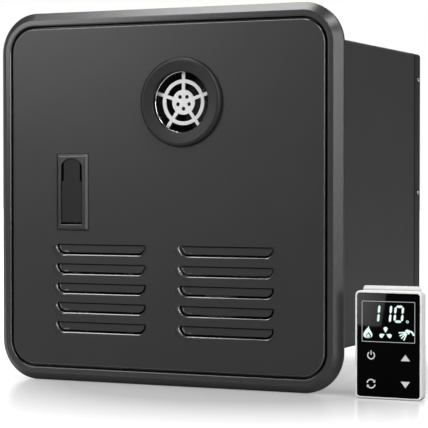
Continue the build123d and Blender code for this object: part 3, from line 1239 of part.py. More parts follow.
PANEL_POSTS = [
    (PANEL_X + sx * (PANEL_W / 2 - PANEL_POST_INSET), PANEL_Z + sz * (PANEL_H / 2 - PANEL_POST_INSET))
    for sx in (-1, 1)
    for sz in (-1, 1)
]


def panel_outline(y, inset, corner, amount, mode=Mode.ADD):
    """Extrude the controller's outline, drawn in by inset, from depth y to the front."""
    with BuildSketch(at_depth(y)) as outline:
        with Locations((PANEL_X, PANEL_Z)):
            RectangleRounded(PANEL_W - 2 * inset, PANEL_H - 2 * inset, corner)
    extrude(outline.sketch, amount=amount, mode=mode)


with BuildPart() as controller_shell:
    panel_outline(PANEL_BACK, 0, PANEL_CORNER_R, PANEL_T)
    fillet(controller_shell.faces().sort_by(Axis.Y)[0].edges(), PANEL_EDGE_R)
    panel_outline(GLASS_BACK, PANEL_RIM, GLASS_CORNER_R, GLASS_T, Mode.SUBTRACT)
    panel_outline(
        PANEL_BACK, PANEL_WALL, PANEL_CORNER_R - PANEL_WALL, PANEL_BACK - BACKING_BACK, Mode.SUBTRACT
    )
    block(
        about(PANEL_X, DISPLAY_W + 2 * DISPLAY_FIT),
        (GLASS_BACK, BACKING_BACK),
        about(DISPLAY_Z, DISPLAY_H + 2 * DISPLAY_FIT),
        Mode.SUBTRACT,
    )
    for x, z in PANEL_POSTS:
        rod_y(x, z, PANEL_POST_R, (BACKING_BACK, PANEL_BOARD_Y[0]))

with BuildPart() as controller_glass:
    panel_outline(GLASS_BACK, PANEL_RIM + GLASS_FIT, GLASS_CORNER_R - GLASS_FIT, GLASS_T)

with BuildPart() as controller_display:
    block(about(PANEL_X, DISPLAY_W), (GLASS_BACK, GLASS_BACK + DISPLAY_T), about(DISPLAY_Z, DISPLAY_H))

with BuildPart() as controller_board:
    board_w = PANEL_W - 2 * (PANEL_WALL + PANEL_BACK_FIT)
    board_h = PANEL_H - 2 * (PANEL_WALL + PANEL_BACK_FIT)
    with BuildSketch(at_depth(PANEL_BOARD_Y[1])):
        with Locations((PANEL_X, PANEL_Z)):
            RectangleRounded(board_w, board_h, PANEL_CORNER_R - PANEL_WALL)
    extrude(amount=PANEL_BOARD_T)

with BuildPart() as controller_back:
    back_inset = PANEL_WALL + PANEL_BACK_FIT
    panel_outline(PANEL_BACK, back_inset, PANEL_CORNER_R - back_inset, PANEL_BACK_T)
    block(
        about(PANEL_X, SOCKET_W + 2 * SOCKET_FIT),
        (PANEL_BACK - PANEL_BACK_T, PANEL_BACK),
        about(SOCKET_Z, SOCKET_H + 2 * SOCKET_FIT),
        Mode.SUBTRACT,
    )
    # Slots hang on the bracket's hooks and leave room to lift the controller off them.
    slot_z = (HOOK_Z - HOOK_LIFT - HOOK_GAP, HOOK_Z + HOOK_NECK_H + BRACKET_GAP)
    for x in HOOK_X:
        slot_x = about(x, HOOK_W + 2 * HOOK_GAP)
        block(slot_x, (PANEL_BACK - PANEL_BACK_T, PANEL_BACK), slot_z, Mode.SUBTRACT)

with BuildPart() as controller_socket:
    socket_y = (PANEL_BOARD_Y[1], PANEL_BACK)
    block(about(PANEL_X, SOCKET_W), socket_y, about(SOCKET_Z, SOCKET_H))
    block(
        about(PANEL_X, SOCKET_W - 2 * SOCKET_WALL),
        (PANEL_BOARD_Y[1] + SOCKET_WALL, PANEL_BACK),
        about(SOCKET_Z, SOCKET_H - 2 * SOCKET_WALL),
        Mode.SUBTRACT,
    )

with BuildPart() as wall_bracket:
    bracket_h = PANEL_H + BRACKET_RISE - BRACKET_FOOT
    bracket_z = PANEL_FOOT + BRACKET_FOOT + bracket_h / 2
    with BuildSketch(at_depth(BRACKET_BACK)):
        with Locations((PANEL_X, bracket_z)):
            RectangleRounded(BRACKET_W, bracket_h, BRACKET_CORNER_R)
        for side in (-1, 1):
            with Locations((PANEL_X, bracket_z + side * BRACKET_HOLE_PITCH / 2)):
                Circle(BRACKET_HOLE_R, mode=Mode.SUBTRACT)
        with Locations((PANEL_X, SOCKET_Z)):
            Rectangle(SOCKET_W + 2 * SOCKET_FIT, SOCKET_H + 2 * SOCKET_FIT, mode=Mode.SUBTRACT)
    extrude(amount=BRACKET_T)
    # Hooks reach through the controller's back and turn up behind it.
    head_back = PANEL_BACK - PANEL_BACK_T - HOOK_GAP
    for x in HOOK_X:
        hook_x = about(x, HOOK_W)
        block(hook_x, (head_back, BRACKET_FRONT), (HOOK_Z, HOOK_Z + HOOK_NECK_H))
        block(hook_x, (head_back - HOOK_HEAD_T, head_back), (HOOK_Z, HOOK_Z + HOOK_NECK_H + HOOK_HEAD_H))

PIECES = {
    "door_frame": door_frame,
    "wall_gasket": wall_gasket,
    "hinge_pins": hinge_pins,
    "frame_screws": frame_screws,
    "door_panel": door_panel,
    "door_gasket": door_gasket,
    "exhaust_bezel": exhaust_bezel,
    "flue_tube": flue_tube,
    "exhaust_guard": exhaust_guard,
    "latch_housing": latch_housing,
    "latch_pin": latch_pin,
    "latch_lever": latch_lever,
    "latch_bolt": latch_bolt,
    "bolt_guides": bolt_guides,
    "case_wrap": case_wrap,
    "rear_cover": rear_cover,
    "cover_screws": cover_screws,
    "cable_grommet": cable_grommet,
    "support_rails": support_rails,
    "blower_housing": blower_housing,
    "blower_motor": blower_motor,
    "blower_shaft": blower_shaft,
    "blower_impeller": blower_impeller,
    "burner_tray": burner_tray,
    "burner_blades": burner_blades,
    "gas_valve": gas_valve,
    "gas_manifold": gas_manifold,
    "solenoid_coil": solenoid_coil,
    "solenoid_plunger": solenoid_plunger,
    "gas_pipe": gas_pipe,
    "gas_inlet": gas_inlet,
    "combustion_chamber": combustion_chamber,
    "electrodes": electrodes,
    "spark_module": spark_module,
    "exchanger_shell": exchanger_shell,
    "exchanger_fins": exchanger_fins,
    "water_coil": water_coil,
    "inlet_pipe": inlet_pipe,
    "outlet_pipe": outlet_pipe,
    "cold_pipe": cold_pipe,
    "flow_sensor": flow_sensor,
    "flow_rotor": flow_rotor,
    "drain_plug": drain_plug,
    "cold_inlet": cold_inlet,
    "hot_outlet": hot_outlet,
    "flue_hood": flue_hood,
    "overheat_switches": overheat_switches,
    "control_box": control_box,
    "power_rocker": power_rocker,
    "control_board": control_board,
    "controller_shell": controller_shell,
    "controller_glass": controller_glass,
    "controller_display": controller_display,
    "controller_board": controller_board,
    "controller_back": controller_back,
    "controller_socket": controller_socket,
    "wall_bracket": wall_bracket,
}

os.makedirs("parts", exist_ok=True)
for name, piece in PIECES.items():
    piece.part.label = name
    export_step(piece.part, f"parts/{name}.step")
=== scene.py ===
"""Looks of a built-in tankless water heater and its wall controller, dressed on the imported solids.

Metres throughout. +X is the viewer's right, +Y runs back into the case and +Z is up.
"""

import logging
import math
from dataclasses import dataclass
from enum import Enum
from typing import ClassVar

import bpy
import numpy as np
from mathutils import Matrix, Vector


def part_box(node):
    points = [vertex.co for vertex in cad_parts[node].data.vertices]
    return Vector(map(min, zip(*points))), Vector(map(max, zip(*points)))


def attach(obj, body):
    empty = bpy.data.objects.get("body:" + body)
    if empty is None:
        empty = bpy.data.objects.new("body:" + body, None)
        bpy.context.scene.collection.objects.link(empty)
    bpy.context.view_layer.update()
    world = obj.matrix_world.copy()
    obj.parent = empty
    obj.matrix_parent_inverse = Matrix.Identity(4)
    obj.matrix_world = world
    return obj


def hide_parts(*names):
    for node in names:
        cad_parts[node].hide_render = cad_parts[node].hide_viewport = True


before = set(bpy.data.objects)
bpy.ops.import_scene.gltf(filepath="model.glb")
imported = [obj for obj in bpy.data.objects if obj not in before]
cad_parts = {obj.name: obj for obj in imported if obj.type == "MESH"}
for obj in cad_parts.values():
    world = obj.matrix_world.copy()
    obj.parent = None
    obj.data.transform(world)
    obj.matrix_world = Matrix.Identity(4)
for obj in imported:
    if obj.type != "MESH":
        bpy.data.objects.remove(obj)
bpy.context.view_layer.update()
LOG = logging.getLogger("heater")

Colour = tuple[float, float, float, float]
Point = tuple[float, float, float]
Flat = tuple[float, float]
Patch = tuple[np.ndarray, list[list[int]]]
Socket = bpy.types.NodeSocket
Feeds = dict[str | int, float | tuple[float, ...] | Socket]

WHITE_LIGHT: Colour = (1.0, 1.0, 1.0, 1.0)
NO_LIGHT: Colour = (0.0, 0.0, 0.0, 1.0)
MID_NOISE: Flat = (0.3, 0.7)  # the middle of a noise's range, where most of it lies
STAIN_NOISE: Flat = (0.42, 0.68)  # the part of a noise that shows as stains
EDGE_TURN: Flat = (0.985, 0.8)  # how far two normals agree, from a flat face to a sharp edge
SHUT_IN: Flat = (0.25, 0.8)  # openness of a surface, from a gap to a free face
WIDE_GRAIN = 0.012  # scale of the wide noise, as a part of the close one's
MOULDED = 0.00003  # depth of a moulded grain


def tone(red: float, green: float, blue: float) -> Colour:
    """Turn display levels from 0 to 255 into a linear colour.

    Args:
        red: display level of red.
        green: display level of green.
        blue: display level of blue.

    Returns:
        The linear colour with full alpha.
    """
    level = np.array([red, green, blue]) / 255.0
    linear = np.where(level <= 0.04045, level / 12.92, ((level + 0.055) / 1.055) ** 2.4)
    return (*(float(c) for c in linear), 1.0)


def grey(level: float) -> Colour:
    """A neutral linear colour from one display level."""
    return tone(level, level, level)


class Grain(Enum):
    """The way the fine lines of a metal run."""

    ALONG_X = (0.04, 1.0, 1.0)
    NONE = (1.0, 1.0, 1.0)


class NodeSheet:
    """A node tree that is filled in by short calls."""

    def __init__(self, tree: bpy.types.NodeTree) -> None:
        """Keep the tree to fill."""
        self.tree = tree

    def feed(self, node: bpy.types.Node, feeds: Feeds) -> None:
        """Set or link a node's inputs.

        Args:
            node: the node.
            feeds: a value or another node's output for each input, by name or place.
        """
        for key, value in feeds.items():
            if isinstance(value, Socket):
                self.tree.links.new(value, node.inputs[key])
            else:
                node.inputs[key].default_value = value

    def add(self, kind: str, feeds: Feeds | None = None, **settings: object) -> bpy.types.Node:
        """Add a node.

        Args:
            kind: node type, without its ShaderNode prefix.
            feeds: a value or another node's output for each input, by name or place.
            settings: values for the node's own properties.

        Returns:
            The new node.
        """
        node = self.tree.nodes.new(kind if kind.startswith("Node") else f"ShaderNode{kind}")
        for name, value in settings.items():
            setattr(node, name, value)
        self.feed(node, feeds or {})
        return node

    def use(self, group: bpy.types.NodeTree, feeds: Feeds) -> bpy.types.NodeOutputs:
        """The outputs of a shared group, placed with its feeds."""
        return self.add("Group", feeds, node_tree=group).outputs

    def place(self) -> Socket:
        """The point on the object, in the object's own coordinates."""
        return self.add("TexCoord").outputs["Object"]

    def noise(self, place: Socket, scale: Socket, detail: float, roughness: float) -> Socket:
        """A noise over places at a scale."""
        feeds = {"Vector": place, "Scale": scale, "Detail": detail, "Roughness": roughness}
        return self.add("TexNoise", feeds).outputs["Fac"]

    def ramp(self, source: Socket, span: Flat, low: float | Socket, high: float | Socket) -> Socket:
        """A value's clamped range map, from its span to the low and high results."""
        feeds = {"Value": source, "From Min": span[0], "From Max": span[1], "To Min": low, "To Max": high}
        return self.add("MapRange", feeds).outputs["Result"]

    def math(self, operation: str, *values: float | Socket) -> Socket:
        """The result of an operation on numbers."""
        return self.add("Math", dict(enumerate(values)), operation=operation).outputs[0]

    def vector(self, operation: str, output: str, *values: tuple[float, ...] | Socket) -> Socket:
        """The named output of an operation on vectors."""
        return self.add("VectorMath", dict(enumerate(values)), operation=operation).outputs[output]

    def scaled(self, colour: Socket, share: Socket) -> Socket:
        """A colour times a number."""
        return self.add("VectorMath", {0: colour, "Scale": share}, operation="SCALE").outputs["Vector"]

    def blend(self, share: Socket, first: Colour | Socket, second: Colour | Socket) -> Socket:
        """A mix of two colours."""
        return self.add("Mix", {"Factor": share, 6: first, 7: second}, data_type="RGBA").outputs[2]

    def relief(self, height: Socket, normal: Socket, depth: float) -> Socket:
        """A normal with a height laid over it, as deep as the depth in metres."""
        return self.add("Bump", {"Strength": 1.0, "Distance": depth, "Height": height, "Normal": normal}).outputs[0]


class Effects:
    """Shader node groups that several finishes share, each built once."""

    def __init__(self) -> None:
        """Build every group."""
        self.grain = self._grain()
        self.edges = self._edges()
        self.brushing = self._brushing()
        self.mottle = self._mottle()
        self.recess = self._shade_in_gaps()

    @staticmethod
    def _group(
        name: str, inputs: dict[str, str], outputs: dict[str, str]
    ) -> tuple[NodeSheet, bpy.types.NodeOutputs, bpy.types.Node]:
        """Make an empty group with named sockets.

        Args:
            name: the group's name.
            inputs: socket kinds by input name.
            outputs: socket kinds by output name.

        Returns:
            The group's sheet, what it is given and its output node.
        """
        tree = bpy.data.node_groups.new(name, "ShaderNodeTree")
        for way, sockets in (("INPUT", inputs), ("OUTPUT", outputs)):
            for socket, kind in sockets.items():
                tree.interface.new_socket(name=socket, in_out=way, socket_type=f"NodeSocket{kind}")
        sheet = NodeSheet(tree)
        return sheet, sheet.add("NodeGroupInput").outputs, sheet.add("NodeGroupOutput")

    def _grain(self) -> bpy.types.NodeTree:
        """Fine moulded or sprayed grain: a close noise for height and roughness, a wide one for colour.

        Returns:
            The group.
        """
        sheet, given, result = self._group(
            "surface_grain",
            {"Scale": "Float", "Colour": "Color", "Spread": "Float", "Smoothest": "Float", "Roughest": "Float"},
            {"Colour": "Color", "Roughness": "Float", "Height": "Float"},
        )
        place = sheet.place()
        close = sheet.noise(place, given["Scale"], detail=2.0, roughness=0.55)
        wide = sheet.noise(place, sheet.math("MULTIPLY", given["Scale"], WIDE_GRAIN), detail=3.0, roughness=0.6)
        swing = sheet.math("MULTIPLY_ADD", sheet.ramp(wide, MID_NOISE, -1.0, 1.0), given["Spread"], 1.0)
        sheet.feed(result, {
            "Colour": sheet.scaled(given["Colour"], swing),
            "Roughness": sheet.ramp(close, MID_NOISE, given["Smoothest"], given["Roughest"]),
            "Height": close,
        })
        return sheet.tree

    def _edges(self) -> bpy.types.NodeTree:
        """Rounded edges: a softened normal, and a mask where it leaves the face's own normal.

        Returns:
            The group.
        """
        sheet, given, result = self._group("rounded_edges", {"Radius": "Float"}, {"Normal": "Vector", "Mask": "Float"})
        rounded = sheet.add("Bevel", {"Radius": given["Radius"]}, samples=8).outputs["Normal"]
        flat = sheet.add("NewGeometry").outputs["Normal"]
        turn = sheet.vector("DOT_PRODUCT", "Value", rounded, flat)
        sheet.feed(result, {"Normal": rounded, "Mask": sheet.ramp(turn, EDGE_TURN, 0.0, 1.0)})
        return sheet.tree

    def _brushing(self) -> bpy.types.NodeTree:
        """Brushed or drawn lines: a noise stretched along one axis shifts colour, roughness and height.

        Returns:
            The group.
        """
        sheet, given, result = self._group(
            "brushed_lines",
            {
                "Scale": "Float", "Stretch": "Vector", "Colour": "Color", "Dark": "Color",
                "Smoothest": "Float", "Roughest": "Float",
            },
            {"Colour": "Color", "Roughness": "Float", "Height": "Float"},
        )
        drawn = sheet.vector("MULTIPLY", "Vector", sheet.place(), given["Stretch"])
        lines = sheet.noise(drawn, given["Scale"], detail=4.0, roughness=0.6)
        sheet.feed(result, {
            "Colour": sheet.blend(sheet.ramp(lines, MID_NOISE, 0.0, 1.0), given["Dark"], given["Colour"]),
            "Roughness": sheet.ramp(lines, MID_NOISE, given["Roughest"], given["Smoothest"]),
            "Height": lines,
        })
        return sheet.tree

    def _mottle(self) -> bpy.types.NodeTree:
        """Heat and handling stains: a wide noise drawn into patches, given as a mask.

        Returns:
            The group.
        """
        sheet, given, result = self._group("stain_patches", {"Scale": "Float", "Cover": "Float"}, {"Mask": "Float"})
        patches = sheet.noise(sheet.place(), given["Scale"], detail=5.0, roughness=0.62)
        soft = sheet.ramp(patches, STAIN_NOISE, 0.0, 1.0)
        sheet.feed(result, {"Mask": sheet.math("MULTIPLY", soft, given["Cover"])})
        return sheet.tree

    def _shade_in_gaps(self) -> bpy.types.NodeTree:
        """Painted shade in narrow gaps: a colour that falls toward black where the surface is shut in.

        Returns:
            The group.
        """
        sheet, given, result = self._group(
            "painted_recess_shade", {"Colour": "Color", "Reach": "Float", "Floor": "Float"}, {"Colour": "Color"}
        )
        shut = sheet.add("AmbientOcclusion", {"Distance": given["Reach"]}, samples=8).outputs["AO"]
        share = sheet.ramp(shut, SHUT_IN, given["Floor"], 1.0)
        sheet.feed(result, {"Colour": sheet.scaled(given["Colour"], share)})
        return sheet.tree


class Finish:
    """What every finish shares: a material whose shader is fed by the finish."""

    name: str

    def feeds(self, sheet: NodeSheet, effects: Effects) -> Feeds:
        """What the shader is fed; each finish has its own."""
        raise NotImplementedError

    def material(self, effects: Effects) -> bpy.types.Material:
        """Make the material.

        Args:
            effects: the shared node groups.

        Returns:
            The finished material.
        """
        material = bpy.data.materials.new(self.name)
        material.use_nodes = True
        sheet = NodeSheet(material.node_tree)
        sheet.feed(material.node_tree.nodes["Principled BSDF"], self.feeds(sheet, effects))
        return material


@dataclass(frozen=True)
class Coating(Finish):
    """Paint, moulded plastic or rubber with a fine grain and softened edges."""

    name: str
    colour: Colour
    edge: Colour
    roughness: float
    spread: float = 0.06
    rough_swing: float = 0.05
    grain: float = 1600.0
    depth: float = 0.00001
    edge_radius: float = 0.0006
    specular: float = 0.5
    coat: float = 0.0
    coat_roughness: float = 0.12
    # The recess reach and its floor set the painted shade: how far into gaps the colour darkens, and how dark it gets
    # at most.
    recess: float = 0.004
    painted_shade_floor: float = 0.25

    def feeds(self, sheet: NodeSheet, effects: Effects) -> Feeds:
        """Grain, edges a little worn and painted shade in gaps.

        Args:
            sheet: the material's node sheet.
            effects: the shared node groups.

        Returns:
            What the shader is fed.
        """
        grain = sheet.use(effects.grain, {
            "Scale": self.grain, "Colour": self.colour, "Spread": self.spread,
            "Smoothest": self.roughness - self.rough_swing, "Roughest": self.roughness + self.rough_swing,
        })
        edges = sheet.use(effects.edges, {"Radius": self.edge_radius})
        worn = sheet.blend(edges["Mask"], grain["Colour"], self.edge)
        # Painted shade: the worn colour darkens toward black where the surface is shut in.
        shade = sheet.use(effects.recess, {"Colour": worn, "Reach": self.recess, "Floor": self.painted_shade_floor})
        return {
            "Base Color": shade["Colour"],
            "Roughness": grain["Roughness"],
            "Specular IOR Level": self.specular,
            "Coat Weight": self.coat,
            "Coat Roughness": self.coat_roughness,
            "Normal": sheet.relief(grain["Height"], edges["Normal"], self.depth),
        }


@dataclass(frozen=True)
class BareMetal(Finish):
    """Brushed, drawn or cast metal with lines along one axis and heat stains."""

    name: str
    colour: Colour
    dark: Colour
    stain: Colour
    roughness: float
    run: Grain = Grain.NONE
    lines: float = 900.0
    rough_swing: float = 0.06
    depth: float = 0.00001
    cover: float = 0.25
    stain_scale: float = 22.0
    edge_radius: float = 0.0004
    metallic: float = 1.0

    def feeds(self, sheet: NodeSheet, effects: Effects) -> Feeds:
        """Lines, stains and softened edges.

        Args:
            sheet: the material's node sheet.
            effects: the shared node groups.

        Returns:
            What the shader is fed.
        """
        brushed = sheet.use(effects.brushing, {
            "Scale": self.lines, "Stretch": self.run.value, "Colour": self.colour, "Dark": self.dark,
            "Smoothest": self.roughness - self.rough_swing, "Roughest": self.roughness + self.rough_swing,
        })
        stains = sheet.use(effects.mottle, {"Scale": self.stain_scale, "Cover": self.cover})
        edges = sheet.use(effects.edges, {"Radius": self.edge_radius})
        return {
            "Base Color": sheet.blend(stains["Mask"], brushed["Colour"], self.stain),
            "Roughness": brushed["Roughness"],
            "Metallic": self.metallic,
            "Normal": sheet.relief(brushed["Height"], edges["Normal"], self.depth),
        }


@dataclass(frozen=True)
class DarkGlass(Finish):
    """Glass printed black on its back: a smooth dark face with a faint ripple and polished edges."""

    name: str
    colour: Colour
    edge: Colour
    roughness: float
    specular: float
    ripple: float = 60.0
    spread: float = 0.1
    rough_share: float = 1.6
    depth: float = 0.000002
    edge_radius: float = 0.0005

    def feeds(self, sheet: NodeSheet, effects: Effects) -> Feeds:
        """A ripple and polished edges.

        Args:
            sheet: the material's node sheet.
            effects: the shared node groups.

        Returns:
            What the shader is fed.
        """
        ripple = sheet.use(effects.grain, {
            "Scale": self.ripple, "Colour": self.colour, "Spread": self.spread,
            "Smoothest": self.roughness, "Roughest": self.roughness * self.rough_share,
        })
        edges = sheet.use(effects.edges, {"Radius": self.edge_radius})
        return {
            "Base Color": sheet.blend(edges["Mask"], ripple["Colour"], self.edge),
            "Roughness": ripple["Roughness"],
            "Specular IOR Level": self.specular,
            "Normal": sheet.relief(ripple["Height"], edges["Normal"], self.depth),
        }


@dataclass(frozen=True)
class LitInk(Finish):
    """Display marks that glow, a little unevenly, as backlit ink does."""

    name: str
    colour: Colour
    strength: float
    unlit: Colour = grey(30)

    def feeds(self, sheet: NodeSheet, effects: Effects) -> Feeds:
        """An uneven glow.

        Args:
            sheet: the material's node sheet.
            effects: the shared node groups.

        Returns:
            What the shader is fed.
        """
        glow = sheet.use(effects.grain, {
            "Scale": 9000.0, "Colour": self.colour, "Spread": 0.08, "Smoothest": 0.4, "Roughest": 0.6,
        })
        return {
            "Base Color": self.unlit,
            "Roughness": glow["Roughness"],
            "Emission Color": glow["Colour"],
            "Emission Strength": self.strength,
        }


@dataclass(frozen=True)
class Laminate(Finish):
    """Circuit board: green solder mask with paler copper runs under it."""

    name: str
    mask: Colour
    run: Colour

    def feeds(self, sheet: NodeSheet, effects: Effects) -> Feeds:
        """Runs along the joints of a brick pattern, in a grained mask.

        Args:
            sheet: the material's node sheet.
            effects: the shared node groups.

        Returns:
            What the shader is fed.
        """
        turned = sheet.add("Mapping", {"Vector": sheet.place(), "Rotation": (math.pi / 2, 0.0, 0.0)})
        runs = sheet.add("TexBrick", {
            "Vector": turned.outputs["Vector"], "Color1": WHITE_LIGHT, "Color2": WHITE_LIGHT, "Mortar": NO_LIGHT,
            "Scale": 180.0, "Mortar Size": 0.02, "Brick Width": 1.4, "Row Height": 0.35,
        })
        grain = sheet.use(effects.grain, {
            "Scale": 1200.0, "Colour": self.mask, "Spread": 0.15, "Smoothest": 0.3, "Roughest": 0.42,
        })
        return {
            "Base Color": sheet.blend(runs.outputs["Color"], self.run, grain["Colour"]),
            "Roughness": grain["Roughness"],
        }


class Finishes(Enum):
    """Every finish on the heater and its controller."""

    FRAME = Coating("frame_plastic", grey(40), grey(52), 0.3, grain=2400.0, edge_radius=0.0009)
    DOOR = Coating("door_powder_coat", grey(35), grey(56), 0.4, grain=1900.0, edge_radius=0.0008, specular=0.38)
    RIM = Coating(
        "louver_edge_coat", grey(42), grey(44), 0.22, grain=1900.0, depth=0.000005, edge_radius=0.0001, specular=1.0
    )
    CASE = Coating("case_paint", grey(54), grey(62), 0.45, grain=1500.0, specular=0.3)
    COVER = Coating("cover_paint", grey(42), grey(52), 0.45, grain=1500.0, specular=0.3)
    LATCH = Coating("latch_plastic", grey(14), grey(32), 0.32, grain=2600.0, edge_radius=0.0014, specular=0.68)
    LEVER = Coating("lever_plastic", grey(20), grey(32), 0.46, grain=2600.0, specular=0.25)
    BEZEL = Coating("bezel_plastic", grey(26), grey(38), 0.46, grain=2600.0, specular=0.3)
    RUBBER = Coating("gasket_foam", grey(24), grey(34), 0.85, spread=0.2, grain=3200.0, depth=0.00012, specular=0.2)
    # Black beads that paint shade: the dark line of a fold or joint, standing in for its shadow.
    SHADE_BEAD = Coating(
        "painted_shade_bead", grey(8), grey(10), 0.8, grain=3200.0, depth=0.00002, specular=0.1, edge_radius=0.0002
    )
    FAN = Coating("fan_plastic", grey(34), grey(54), 0.5, depth=MOULDED)
    COIL = Coating("coil_resin", grey(28), grey(44), 0.28, depth=MOULDED, coat=0.3)
    SENSOR = Coating("sensor_plastic", grey(96), grey(124), 0.5, depth=MOULDED)
    ROTOR = Coating("rotor_plastic", grey(222), grey(236), 0.45, depth=MOULDED)
    ROCKER = Coating("rocker_plastic", grey(26), grey(56), 0.24, depth=MOULDED)
    CERAMIC = Coating("insulator_glaze", tone(236, 232, 222), tone(244, 242, 236), 0.18, depth=MOULDED, coat=0.4)
    WHITE = Coating("controller_plastic", tone(212, 212, 211), tone(226, 226, 225), 0.36, spread=0.02, grain=3000.0)
    GUARD = BareMetal("guard_steel", grey(206), grey(192), tone(190, 186, 178), 0.4, cover=0.1, metallic=0.35)
    MOUTH = BareMetal("flue_mouth_steel", grey(232), grey(214), tone(206, 200, 190), 0.16, cover=0.1, depth=0.000002)
    STAINLESS = BareMetal("flue_steel", grey(212), grey(176), tone(176, 154, 120), 0.26, Grain.ALONG_X)
    PLATED = BareMetal("zinc_plate", tone(198, 200, 204), grey(168), tone(150, 150, 142), 0.3)
    COPPER = BareMetal(
        "drawn_copper", tone(216, 140, 104), tone(186, 108, 76), tone(116, 66, 48), 0.28, Grain.ALONG_X, cover=0.5
    )
    BRASS = BareMetal("turned_brass", tone(212, 180, 112), tone(186, 150, 88), tone(140, 112, 62), 0.26)
    ALLOY = BareMetal("cast_alloy", grey(186), grey(150), grey(130), 0.46, lines=1400.0, depth=0.00004)
    GLASS = DarkGlass("controller_glass_black", grey(3), grey(16), 0.018, 0.03)
    SCREEN = DarkGlass("display_face", tone(16, 20, 22), grey(40), 0.2, 0.4)
    DIGIT = LitInk("lit_digits", tone(226, 250, 246), 1.0)
    KEY = LitInk("key_marks", tone(206, 208, 210), 0.9)
    LINE = LitInk("window_line", tone(196, 198, 200), 0.95)
    BOARD = Laminate("circuit_board", tone(26, 86, 54), tone(60, 130, 84))


def grid_faces(rows: int, columns: int, closed: bool) -> np.ndarray:
    """Quads of a grid of points.

    Args:
        rows: number of rows.
        columns: number of columns.
        closed: whether the last column joins the first.

    Returns:
        Corner indices, one row of four for each quad.
    """
    row, column = np.meshgrid(np.arange(rows - 1), np.arange(columns if closed else columns - 1), indexing="ij")
    near, far = row * columns, (row + 1) * columns
    beside = (column + 1) % columns
    return np.stack([near + column, near + beside, far + beside, far + column], axis=-1).reshape(-1, 4)


def sheet_patch(grid: np.ndarray, closed: bool, way: int = 1) -> Patch:
    """A surface through a grid of points.

    Args:
        grid: points, by row, by column, by coordinate.
        closed: whether the last column joins the first.
        way: 1 for faces in the grid's own turn, -1 for the other side.

    Returns:
        Its vertices and faces.
    """
    return grid.reshape(-1, 3), grid_faces(*grid.shape[:2], closed)[:, ::way].tolist()


def closed_shell(rings: np.ndarray) -> Patch:
    """A surface through rings of points, closed at each end by a fan to the ring's middle.

    Args:
        rings: points, by ring, by place round it, by coordinate.

    Returns:
        Its vertices and faces.
    """
    count, around = rings.shape[:2]
    vertices = np.concatenate([rings.reshape(-1, 3), rings[[0, -1]].mean(axis=1)])
    place = np.arange(around)
    beside = (place + 1) % around
    last = (count - 1) * around
    top = np.full(around, count * around)
    first_fan = np.stack([top, beside, place], axis=-1)
    last_fan = np.stack([top + 1, last + place, last + beside], axis=-1)
    return vertices, grid_faces(count, around, True).tolist() + first_fan.tolist() + last_fan.tolist()


def fan(outline: np.ndarray, middle: np.ndarray) -> Patch:
    """A flat patch of triangles from a middle to a closed outline that it sees whole.

    Args:
        outline: the outline's points.
        middle: the middle's point.

    Returns:
        Its vertices and faces.
    """
    place = np.arange(len(outline))
    faces = np.stack([np.zeros_like(place), place + 1, (place + 1) % len(outline) + 1], axis=-1)
    return np.concatenate([middle[None], outline]), faces.tolist()


def strip(inner: np.ndarray, outer: np.ndarray, closed: bool) -> Patch:
    """A flat ribbon between two lines of points.

    Args:
        inner: points along one side.
        outer: points along the other.
        closed: whether its ends meet.

    Returns:
        Its vertices and faces.
    """
    count = len(inner)
    place = np.arange(count if closed else count - 1)
    beside = (place + 1) % count
    faces = np.stack([place, count + place, count + beside, beside], axis=-1)
    return np.concatenate([inner, outer]), faces.tolist()


def rays(angles: np.ndarray) -> np.ndarray:
    """Unit directions, right and up, at angles in radians."""
    return np.stack([np.cos(angles), np.sin(angles)], axis=-1)


def rounded_square(half: Flat, corner: float, steps: int) -> tuple[np.ndarray, np.ndarray]:
    """An anticlockwise rectangle with round corners, four quarter circles whose ends are joined by its sides.

    Args:
        half: half of its width and of its height.
        corner: radius of its corners.
        steps: number of points round each corner.

    Returns:
        Its points as right and up distances, and the outward direction at each.
    """
    ray = rays(np.radians((np.linspace(0, 90, steps) + 90 * np.arange(4)[:, None]).ravel()))
    quarter = np.repeat(np.array([[1, 1], [-1, 1], [-1, -1], [1, -1]]), steps, axis=0)
    return quarter * (np.array(half) - corner) + corner * ray, ray


def new_piece(name: str, patches: list[Patch], smooth: bool) -> bpy.types.Object:
    """Join patches into one mesh object at the origin.

    Args:
        name: the piece's name.
        patches: vertices and faces of each patch.
        smooth: whether its faces shade smoothly.

    Returns:
        The object.
    """
    faces: list[list[int]] = []
    start = 0
    for points, corners in patches:
        faces.extend([corner + start for corner in face] for face in corners)
        start += len(points)
    mesh = bpy.data.meshes.new(name)
    mesh.from_pydata(np.concatenate([points for points, _ in patches]).tolist(), [], faces)
    mesh.polygons.foreach_set("use_smooth", np.full(len(faces), smooth))
    mesh.update()
    piece = bpy.data.objects.new(name, mesh)
    bpy.context.scene.collection.objects.link(piece)
    LOG.info("built %s with %d faces", name, len(faces))
    return piece


